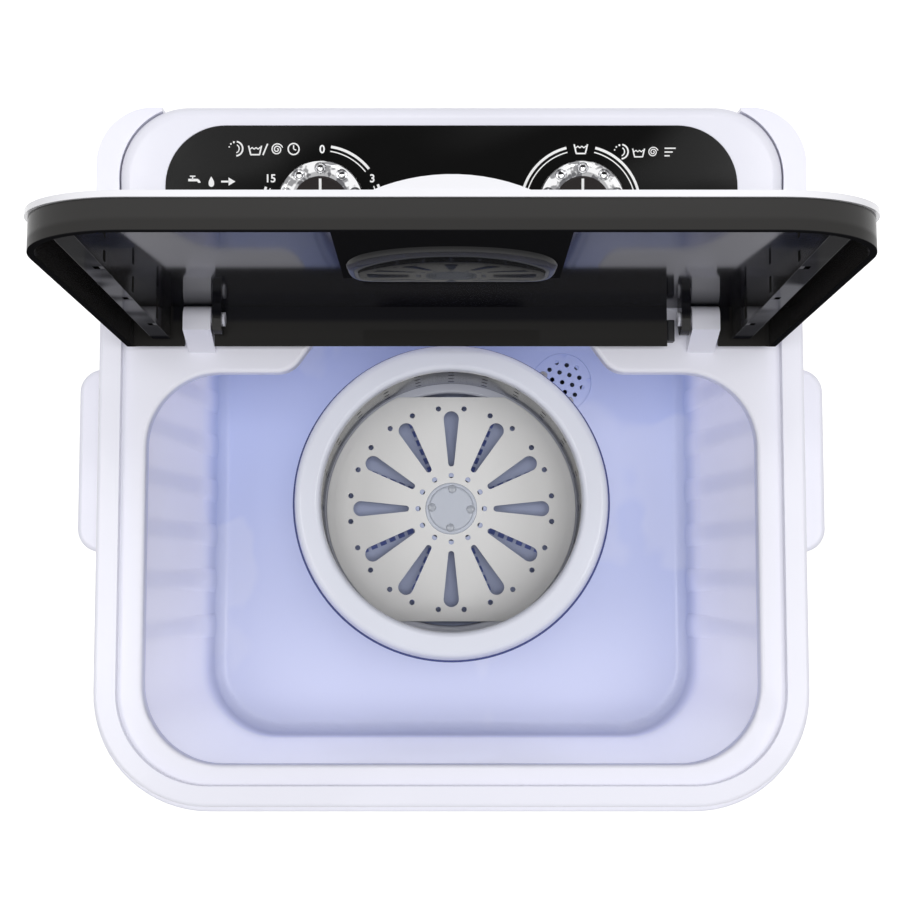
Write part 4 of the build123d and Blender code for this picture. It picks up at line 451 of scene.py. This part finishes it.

# Chrome knob rings: painted reflection, bright bands turning round each knob between darker ones, as a
# polished ring mirrors a room. This painted reflection darkens again at the outer and inner edges.
chrome = {
    "x": 0.0698,
    "y": 0.1344,
    "bright": (0.93, 0.93, 0.94),
    "dark": (0.16, 0.16, 0.17),
    "outerEdge": (0.0222, 0.0234),
    "outerShare": 0.75,
    "innerEdge": (0.0150, 0.0158),
    "innerShare": 0.6,
    "bandRun": (0.48, 0.58),
    "bandShare": 0.8,
    "roughness": 0.06,
}


def knobChrome():
    finish = Finish("knob_chrome")
    x, y, _ = finish.axes()
    side = x.ease(-0.001, 0.001) * 2.0 - 1.0
    across = x - side * chrome["x"]
    along = y - chrome["y"]
    turn = across.math("ARCTAN2", along)
    reach = (across * across + along * along).math("SQRT")
    band = finish.noise(1.0, 2.0, 0.7, finish.joined(turn * 2.6, side * 3.0, reach * 160.0))
    edge = reach.ease(*chrome["outerEdge"]) * chrome["outerShare"]
    edge = edge + (1.0 - reach.ease(*chrome["innerEdge"])) * chrome["innerShare"]
    shade = (band.ease(*chrome["bandRun"]) * chrome["bandShare"] + edge).math("MINIMUM", 1.0)
    grain = finish.noise(900.0)
    finish.set(
        # Painted reflection in the base colour
        baseColor=finish.between(shade, chrome["bright"], chrome["dark"]),
        metallic=1.0,
        roughness=chrome["roughness"] + (grain - 0.5) * 0.04,
    )
    finish.bump(band, 0.0002)
    return finish.material


finishes["knob_chrome"] = knobChrome()
print("finishes made:", len(finishes))


def linked(name, data):
    holder = bpy.data.objects.new(name, data)
    bpy.context.scene.collection.objects.link(holder)
    return holder


def putIn(name, points, faces, material, smooth=False):
    mesh = bpy.data.meshes.new(name)
    mesh.from_pydata(np.asarray(points).tolist(), [], faces)
    mesh.materials.append(material)
    if smooth:
        mesh.shade_smooth()
    return linked(name, mesh)


# A welded copy of a CAD node, shaded smooth between its sharp edges, that stands for the node
weld = {"digits": 7, "sharp": math.radians(32.0), "weight": 100}


def smoothSkin(node):
    source = nodes[node].data
    source.calc_loop_triangles()
    points = np.empty(len(source.vertices) * 3)
    source.vertices.foreach_get("co", points)
    corners = np.empty(len(source.loop_triangles) * 3, dtype=np.int32)
    source.loop_triangles.foreach_get("vertices", corners)
    keys, place = np.unique(np.round(points.reshape(-1, 3), weld["digits"]), axis=0, return_inverse=True)
    faces = place.reshape(-1)[corners].reshape(-1, 3)
    faces = faces[np.all(faces != np.roll(faces, -1, axis=1), axis=1)]
    mesh = bpy.data.meshes.new(node + "Skin")
    mesh.vertices.add(len(keys))
    mesh.vertices.foreach_set("co", keys.ravel())
    mesh.loops.add(faces.size)
    mesh.loops.foreach_set("vertex_index", faces.ravel())
    mesh.polygons.add(len(faces))
    mesh.polygons.foreach_set("loop_start", np.arange(0, faces.size, 3))
    mesh.polygons.foreach_set("loop_total", np.full(len(faces), 3))
    mesh.update(calc_edges=True)
    mesh.validate()
    mesh.shade_smooth()
    mesh.set_sharp_from_angle(angle=weld["sharp"])
    mesh.materials.append(finishes[slotOfNode[node]])
    piece = linked(node + "Skin", mesh)
    weigh = piece.modifiers.new("flatFacesLead", "WEIGHTED_NORMAL")
    weigh.keep_sharp = True
    weigh.weight = weld["weight"]
    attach(piece, bodyOfNode[node])
    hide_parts(node)


skinned = [
    "top_deck", "console_housing", "cabinet", "wash_tub", "basket_ring", "basket_lip", "basket_wall",
    "basket_base", "basket_collar", "basket_plate", "basket_hub_cap", "lid_tray", "lid_trim",
    "timer_knob_ring", "timer_knob_cap", "selector_knob_ring", "selector_knob_cap", "side_handle_left",
    "side_handle_right", "drain_grille", "grille_screws", "fascia_panel", "water_inlet", "drain_pipe",
    "rear_cover", "rubber_feet", "pulsator", "lid_buffers", "rear_cover_screws",
]
for node, shown in nodes.items():
    if node in skinned:
        smoothSkin(node)
    else:
        shown.data.materials.clear()
        shown.data.materials.append(finishes[slotOfNode[node]])
print("skins made:", len(skinned))


# Points of the open lid, from their places across, along and out from the hinge
def onLid(x, along, outward):
    sine = math.sin(hinge["turn"])
    cosine = math.cos(hinge["turn"])
    y = hinge["y"] + along * cosine + outward * sine
    z = hinge["z"] - along * sine + outward * cosine
    return np.stack(np.broadcast_arrays(x, y, z), axis=-1)


# The pull's underside: a glossy cushion over a D-shaped foot whose straight side is towards the hinge.
# With u across and v from the round edge to the straight one, both from -1 to 1, the foot's edges are
# round * (1 - |u|^2.2)^0.5 and straight * (1 - |u|^20)^0.5, and the cushion rises
# height * (1 - |u|^12)^0.5 * (1 - |v|^power)^0.5, where power is larger on the straight side.
pull = {
    "halfWidth": 0.0466,
    "middle": -0.1975,
    "round": 0.0345,
    "roundPower": 2.2,
    "straight": 0.0235,
    "straightPower": 20,
    "base": -0.0152,
    "height": 0.0042,
    "sidePower": 12,
    "risePowers": (2.0, 5.0),
    "across": 96,
    "down": 48,
}


def pullCushion():
    u = np.sin(np.linspace(-math.pi / 2, math.pi / 2, pull["across"] + 1))[None, :]
    v = np.sin(np.linspace(-math.pi / 2, math.pi / 2, pull["down"] + 1))[:, None]
    roundEdge = pull["round"] * np.sqrt(1 - np.abs(u) ** pull["roundPower"])
    straightEdge = pull["straight"] * np.sqrt(1 - np.abs(u) ** pull["straightPower"])
    along = pull["middle"] + np.where(v < 0, v * roundEdge, v * straightEdge)
    power = np.where(v < 0, *pull["risePowers"])
    rise = pull["height"] * np.sqrt(1 - np.abs(u) ** pull["sidePower"]) * np.sqrt(1 - np.abs(v) ** power)
    points = onLid(pull["halfWidth"] * u, along, pull["base"] - rise)
    here = np.arange(v.size * u.size).reshape(v.size, u.size)
    faces = np.stack([here[:-1, :-1], here[1:, :-1], here[1:, 1:], here[:-1, 1:]], axis=-1)
    return points.reshape(-1, 3), faces.reshape(-1, 4).tolist()


cushionFinish = Finish(
    "pullGloss", baseColor=(0.01, 0.01, 0.011), specularIORLevel=0.0, coatWeight=0.4, coatRoughness=0.05
)
cushionFinish.set(roughness=0.05 + cushionFinish.noise(600.0) * 0.05)
cushionFinish.bump(cushionFinish.noise(60.0, 1.0), 0.0001)
cushion = putIn("pullCushion", *pullCushion(), cushionFinish.material, smooth=True)
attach(cushion, "lid")

# Glossy strips along the lid's side rails, narrower beside their square clip holes. Their sheen shows
# between two heights.
strip = {
    "near": 0.1572,
    "besideHole": 0.1617,
    "far": 0.1668,
    "level": -0.01145,
    "ends": (-0.2343, -0.0022),
    "holes": (-0.176, -0.110, -0.044),
    "halfHole": 0.0026,
    "sheenStart": (0.5, 0.57),
    "sheenEnd": (0.62, 0.67),
}


def railStrips():
    holes = np.array(strip["holes"])
    edges = np.stack([holes - strip["halfHole"], holes + strip["halfHole"]], axis=-1).ravel()
    cuts = np.array([strip["ends"][0], *edges, strip["ends"][1]])
    near = np.where(np.arange(len(cuts) - 1) % 2 == 0, strip["near"], strip["besideHole"])
    far = np.full_like(near, strip["far"])
    x = np.stack([near, far, far, near], axis=-1)
    along = np.stack([cuts[:-1], cuts[:-1], cuts[1:], cuts[1:]], axis=-1)
    left = onLid(-x, along, strip["level"])[:, ::-1]
    right = onLid(x, along, strip["level"])
    points = np.concatenate([left, right]).reshape(-1, 3)
    return points, np.arange(len(points)).reshape(-1, 4).tolist()


stripFinish = Finish("railGloss", baseColor=(0.006, 0.006, 0.008), specularIORLevel=0.0, coatRoughness=0.1)
stripHeight = stripFinish.axes()[2]
sheen = stripHeight.ease(*strip["sheenStart"]) * (1.0 - stripHeight.ease(*strip["sheenEnd"]))
stripFinish.set(coatWeight=0.08 + sheen * stripFinish.noise(28.0, 1.0).ease(0.4, 0.6) * 0.35)
stripFinish.set(roughness=0.12 + stripFinish.noise(500.0) * 0.06)
stripFinish.bump(stripFinish.noise(45.0, 1.0), 0.0003)
strips = putIn("railStrips", *railStrips(), stripFinish.material)
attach(strips, "lid")
print("lid details made")

# Four screw heads seen in the hub's clear cap: low domes, each a ring of points drawn in to its middle
# while it rises as the root of one less the radius squared
pips = {
    "axis": (0.0, -0.0206),
    "reach": 0.0123,
    "radius": 0.0027,
    "height": 0.0008,
    "sunk": 0.0004,
    "turn": 0.05,
    "count": 4,
    "rings": 10,
    "spokes": 24,
    "flat": 0.05,
    "dark": (0.42, 0.45, 0.52),
    "pale": (0.6, 0.63, 0.7),
}


def hubPips(level):
    count, rings, spokes = pips["count"], pips["rings"], pips["spokes"]
    place = (pips["turn"] + np.arange(count) * 2 * math.pi / count)[:, None, None]
    radius = np.linspace(1, pips["flat"], rings)[None, :, None]
    turn = np.linspace(0, 2 * math.pi, spokes, endpoint=False)[None, None, :]
    x = pips["axis"][0] + pips["reach"] * np.sin(place) + pips["radius"] * radius * np.cos(turn)
    y = pips["axis"][1] + pips["reach"] * np.cos(place) + pips["radius"] * radius * np.sin(turn)
    z = level + pips["height"] * np.sqrt(1 - radius**2)
    points = np.stack(np.broadcast_arrays(x, y, z), axis=-1).reshape(-1, 3)
    here = np.arange(count * rings * spokes).reshape(count, rings, spokes)
    after = np.roll(here, -1, axis=2)
    quads = np.stack([here[:, :-1], after[:, :-1], after[:, 1:], here[:, 1:]], axis=-1).reshape(-1, 4)
    return points, quads.tolist() + here[:, -1].tolist()


pipFinish = Finish("pipGrey", specularIORLevel=0.5, coatWeight=0.5)
pipTone = pipFinish.noise(900.0)
pipFinish.set(baseColor=pipFinish.between(pipTone, pips["dark"], pips["pale"]), roughness=0.25 + pipTone * 0.1)
capTop = max(corner[2] for corner in nodes["basket_hub_cap"].bound_box)
pipHeads = putIn("hubPips", *hubPips(capTop - pips["sunk"]), pipFinish.material, smooth=True)
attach(pipHeads, "basket")

# Printing on the black panel: dial numbers, arcs and plain pictures, drawn in the panel's own plane
panel = {"front": 0.097, "height": 0.499, "slope": math.radians(9.0), "lift": 0.00108}
dial = {
    "x": 0.0698,
    "along": 0.0383,
    "outer": (0.0315, 0.0329),
    "inner": (0.0295, 0.0301),
    "numberSize": 0.006,
    "numberDrop": 0.0008,
    "numbers": ["0", "3", "6", "9", "12", "15"],
    "step": 60,
    "selectorArcs": ((14, 166), (194, 346)),
}
# What numbers of one and of two digits need: room in the arcs on either side, in degrees, and a shift
# away from the dial's middle
digits = {1: {"room": 8.5, "shift": 0.0}, 2: {"room": 11.0, "shift": 0.0012}}
inkColour = (0.97, 0.97, 0.97)


# Points of the sloped panel, from their places across and along it
def onPanel(x, along):
    sine = math.sin(panel["slope"])
    cosine = math.cos(panel["slope"])
    y = panel["front"] + along * cosine - panel["lift"] * sine
    z = panel["height"] + along * sine + panel["lift"] * cosine
    return np.stack([x, y, z], axis=-1)


# Flat shapes gathered into one printed piece. Their places are counted from a middle, in steps of a size.
class Print:
    def __init__(self):
        self.points = np.empty((0, 3))
        self.faces = []
        self.moveTo(0.0, 0.0, 1.0)

    def moveTo(self, x, along, size):
        self.middle = (x, along)
        self.size = size

    def add(self, places, faces):
        first = len(self.points)
        places = self.middle + self.size * np.asarray(places)
        self.points = np.vstack([self.points, onPanel(*places.T)])
        self.faces += [np.add(face, first).tolist() for face in faces]

    def strip(self, left, right):
        places = np.stack([left, right], axis=1).reshape(-1, 2)
        low = np.arange(0, len(places) - 2, 2)
        self.add(places, np.stack([low, low + 1, low + 3, low + 2], axis=-1))

    def arc(self, x, along, inner, outer, start, end, steps=40):  # degrees, clockwise from straight up
        turns = np.radians(np.linspace(start, end, steps))
        spokes = np.stack([np.sin(turns), np.cos(turns)], axis=-1)
        self.strip((x, along) + inner * spokes, (x, along) + outer * spokes)

    def line(self, a, b, width):
        run = np.subtract(b, a)
        side = np.array([-run[1], run[0]]) / np.hypot(*run) * width / 2
        self.strip([a + side, b + side], [a - side, b - side])

    def disc(self, x, along, radius):
        self.arc(x, along, 0.0, radius, 0, 360, 20)

    def fill(self, outline):
        self.add(outline, [np.arange(len(outline))])

    def text(self, words, x, along, size):
        curve = bpy.data.curves.new("dialText", "FONT")
        curve.body = words
        curve.size = size
        curve.offset = size * 0.022
        curve.align_x = "CENTER"
        curve.align_y = "CENTER"
        shape = linked("dialText", curve)
        bpy.context.view_layer.update()
        flat = bpy.data.meshes.new_from_object(shape.evaluated_get(bpy.context.evaluated_depsgraph_get()))
        places = np.empty(len(flat.vertices) * 3)
        flat.vertices.foreach_get("co", places)
        faces = [tuple(face.vertices) for face in flat.polygons]
        self.add(places.reshape(-1, 3)[:, :2] + (x, along), faces)
        bpy.data.objects.remove(shape)
        bpy.data.curves.remove(curve)
        bpy.data.meshes.remove(flat)


marks = Print()
numberCircle = (dial["outer"][1] + dial["inner"][0]) / 2
rooms = [digits[len(number)]["room"] for number in dial["numbers"]]
for index, number in enumerate(dial["numbers"]):
    turn = math.radians(dial["step"] * index)
    across = (numberCircle + digits[len(number)]["shift"]) * math.sin(turn) - dial["x"]
    along = numberCircle * math.cos(turn) + dial["along"] - dial["numberDrop"]
    marks.text(number, across, along, dial["numberSize"])
arcs = [
    (-dial["x"], dial["step"] * index + room, dial["step"] * (index + 1) - nextRoom, 40)
    for index, (room, nextRoom) in enumerate(zip(rooms[:-1], rooms[1:]))
]
arcs += [(dial["x"], start, end, 80) for start, end in dial["selectorArcs"]]
for x, start, end, steps in arcs:
    marks.arc(x, dial["along"], *dial["outer"], start, end, steps)
    marks.arc(x, dial["along"], *dial["inner"], start, end, steps)


# A small wash tub with water in it
def tubPicture():
    marks.line((-0.5, 0.28), (-0.34, -0.4), 0.11)
    marks.line((0.5, 0.28), (0.34, -0.4), 0.11)
    marks.line((-0.37, -0.4), (0.37, -0.4), 0.11)
    across = np.linspace(-0.44, 0.44, 13)
    wave = np.stack([across, 0.08 + 0.06 * np.sin(across * 21)], axis=-1)
    marks.strip(wave + (0, 0.05), wave - (0, 0.05))


def dropPicture():
    turns = np.linspace(0, 2 * math.pi, 25, endpoint=False)
    across = 0.3 * np.sin(turns) * np.sqrt(0.5 - 0.5 * np.cos(turns))
    marks.fill(np.stack([across, 0.42 * np.cos(turns) - 0.04], axis=-1))


def clockPicture():
    marks.arc(0, 0, 0.36, 0.46, 0, 360, 30)
    marks.line((0, 0), (0, 0.28), 0.09)
    marks.line((0, 0), (0.19, -0.08), 0.09)


def spiralPicture():
    turns = np.linspace(0, 4.4 * math.pi, 50)
    spokes = np.stack([np.sin(turns), np.cos(turns)], axis=-1)
    reach = (0.06 + 0.4 * turns / turns[-1])[:, None]
    marks.strip((reach + 0.045) * spokes, (reach - 0.045) * spokes)


# A crescent with three small splashes beside it
def swirlPicture():
    marks.arc(0, 0, 0.4, 0.5, 10, 175)
    marks.arc(-0.05, 0, 0.24, 0.31, 30, 160)
    for radius, turn in ((0.045, -75), (0.055, -45), (0.065, -15)):
        marks.disc(0.42 * math.sin(math.radians(turn)), 0.42 * math.cos(math.radians(turn)), radius)


def tapPicture():
    marks.line((-0.45, 0.12), (0.2, 0.12), 0.2)
    marks.arc(0.2, -0.1, 0.12, 0.32, 0, 90, 12)
    marks.line((-0.1, 0.15), (-0.1, 0.42), 0.1)
    marks.line((-0.32, 0.42), (0.12, 0.42), 0.1)


pictures = [
    (swirlPicture, -0.1165, 0.0692, 0.0085),
    (tubPicture, -0.1060, 0.0688, 0.0070),
    (spiralPicture, -0.0942, 0.0688, 0.0070),
    (clockPicture, -0.0852, 0.0690, 0.0072),
    (tapPicture, -0.1392, 0.0516, 0.0068),
    (dropPicture, -0.1298, 0.0518, 0.0066),
    (tubPicture, dial["x"], dial["along"] + numberCircle, 0.0072),
    (swirlPicture, 0.0915, 0.0676, 0.0085),
    (tubPicture, 0.1010, 0.0674, 0.0064),
    (spiralPicture, 0.1088, 0.0674, 0.0060),
]
for draw, x, along, size in pictures:
    marks.moveTo(x, along, size)
    draw()

# A stroke between two pictures, an arrow, and three shortening lines, placed on the panel itself
marks.moveTo(0.0, 0.0, 1.0)
marks.line((-0.1018, 0.0658), (-0.0992, 0.0718), 0.0008)
marks.line((-0.1245, 0.0516), (-0.1200, 0.0516), 0.0010)
marks.fill([(-0.1205, 0.0538), (-0.1205, 0.0494), (-0.1168, 0.0516)])
for end, along in ((0.1210, 0.0694), (0.1194, 0.0674), (0.1178, 0.0654)):
    marks.line((0.1150, along), (end, along), 0.0007)

ink = Finish("panelInk", roughness=0.5)
ink.set(baseColor=ink.between(ink.noise(2600.0), toned(inkColour, 0.9), inkColour))
panelPrint = putIn("panelPrint", marks.points, marks.faces, ink.material)
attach(panelPrint, "machine")
print("panel printed:", len(marks.faces), "faces")

# Floor and backdrop: white to the camera and in reflections, and the floor still takes a shadow
stageSet = {"half": 3.0, "floor": (0.9, 0.9, 0.9), "glow": 0.5, "sky": 0.38}
floorFinish = Finish("floorWhite", baseColor=stageSet["floor"], emissionColor=(1.0, 1.0, 1.0))
floorFinish.set(roughness=0.85 + floorFinish.noise(40.0) * 0.1)
seen = floorFinish.node("ShaderNodeLightPath", out="Is Camera Ray")
mirrored = floorFinish.node("ShaderNodeLightPath", out="Is Glossy Ray")
floorFinish.set(emissionStrength=seen.math("MAXIMUM", mirrored) * stageSet["glow"])
floorCorners = stageSet["half"] * np.array([(-1, -1, 0), (1, -1, 0), (1, 1, 0), (-1, 1, 0)])
floor = putIn("floor", floorCorners, [(0, 1, 2, 3)], floorFinish.material)

world = bpy.data.worlds.new("studio")
world.use_nodes = True
bpy.context.scene.world = world
sky = world.node_tree
background = sky.nodes["Background"]
toEye = addNode(sky, "ShaderNodeLightPath", out="Is Camera Ray")
for ray in ("Is Glossy Ray", "Is Transmission Ray"):
    toEye = toEye.math("MAXIMUM", addNode(sky, "ShaderNodeLightPath", out=ray))
plug(sky, background.inputs["Color"], (1.0, 1.0, 1.0))
plug(sky, background.inputs["Strength"], toEye * (1.0 - stageSet["sky"]) + stageSet["sky"])

# The overhead lamp isn't mirrored, or it would lie across the black panel
lamps = {
    "overhead": {
        "place": (0.1, -0.15, 3.2), "aim": (0, -0.03, 0.35), "size": 0.9, "power": 27.0, "mirrored": False,
    },
    "leftSoftbox": {
        "place": (-1.0, -0.15, 3.0), "aim": (0, 0, 0.35), "size": 0.7, "power": 8.0, "mirrored": True,
    },
    "rightSoftbox": {
        "place": (1.0, -0.1, 3.0), "aim": (0, 0, 0.35), "size": 0.7, "power": 8.0, "mirrored": True,
    },
    "rearSoftbox": {
        "place": (0.1, 1.25, 2.8), "aim": (0, 0, 0.35), "size": 0.9, "power": 5.0, "mirrored": True,
    },
}
for name, lamp in lamps.items():
    light = bpy.data.lights.new(name, "AREA")
    light.shape = "SQUARE"
    light.size = lamp["size"]
    light.energy = lamp["power"]
    holder = linked(name, light)
    holder.visible_glossy = lamp["mirrored"]
    away = np.subtract(lamp["place"], lamp["aim"])
    away = away / np.linalg.norm(away)
    across = np.cross((0, 1, 0), away)
    across = across / np.linalg.norm(across)
    stand = np.eye(4)
    stand[:3] = np.stack([across, np.cross(away, across), away, lamp["place"]], axis=-1)
    holder.matrix_world = Matrix(stand.tolist())

eye = {"lens": 64.4, "place": (-0.0008, -0.0702, 1.363), "tilt": 4.84}
camera = bpy.data.cameras.new("eye")
camera.lens = eye["lens"]
camera.sensor_width = 36.0
cameraHolder = linked("eye", camera)
cameraHolder.location = eye["place"]
cameraHolder.rotation_euler = (math.radians(eye["tilt"]), 0, 0)
bpy.context.scene.camera = cameraHolder
bpy.context.scene.view_settings.view_transform = "Standard"
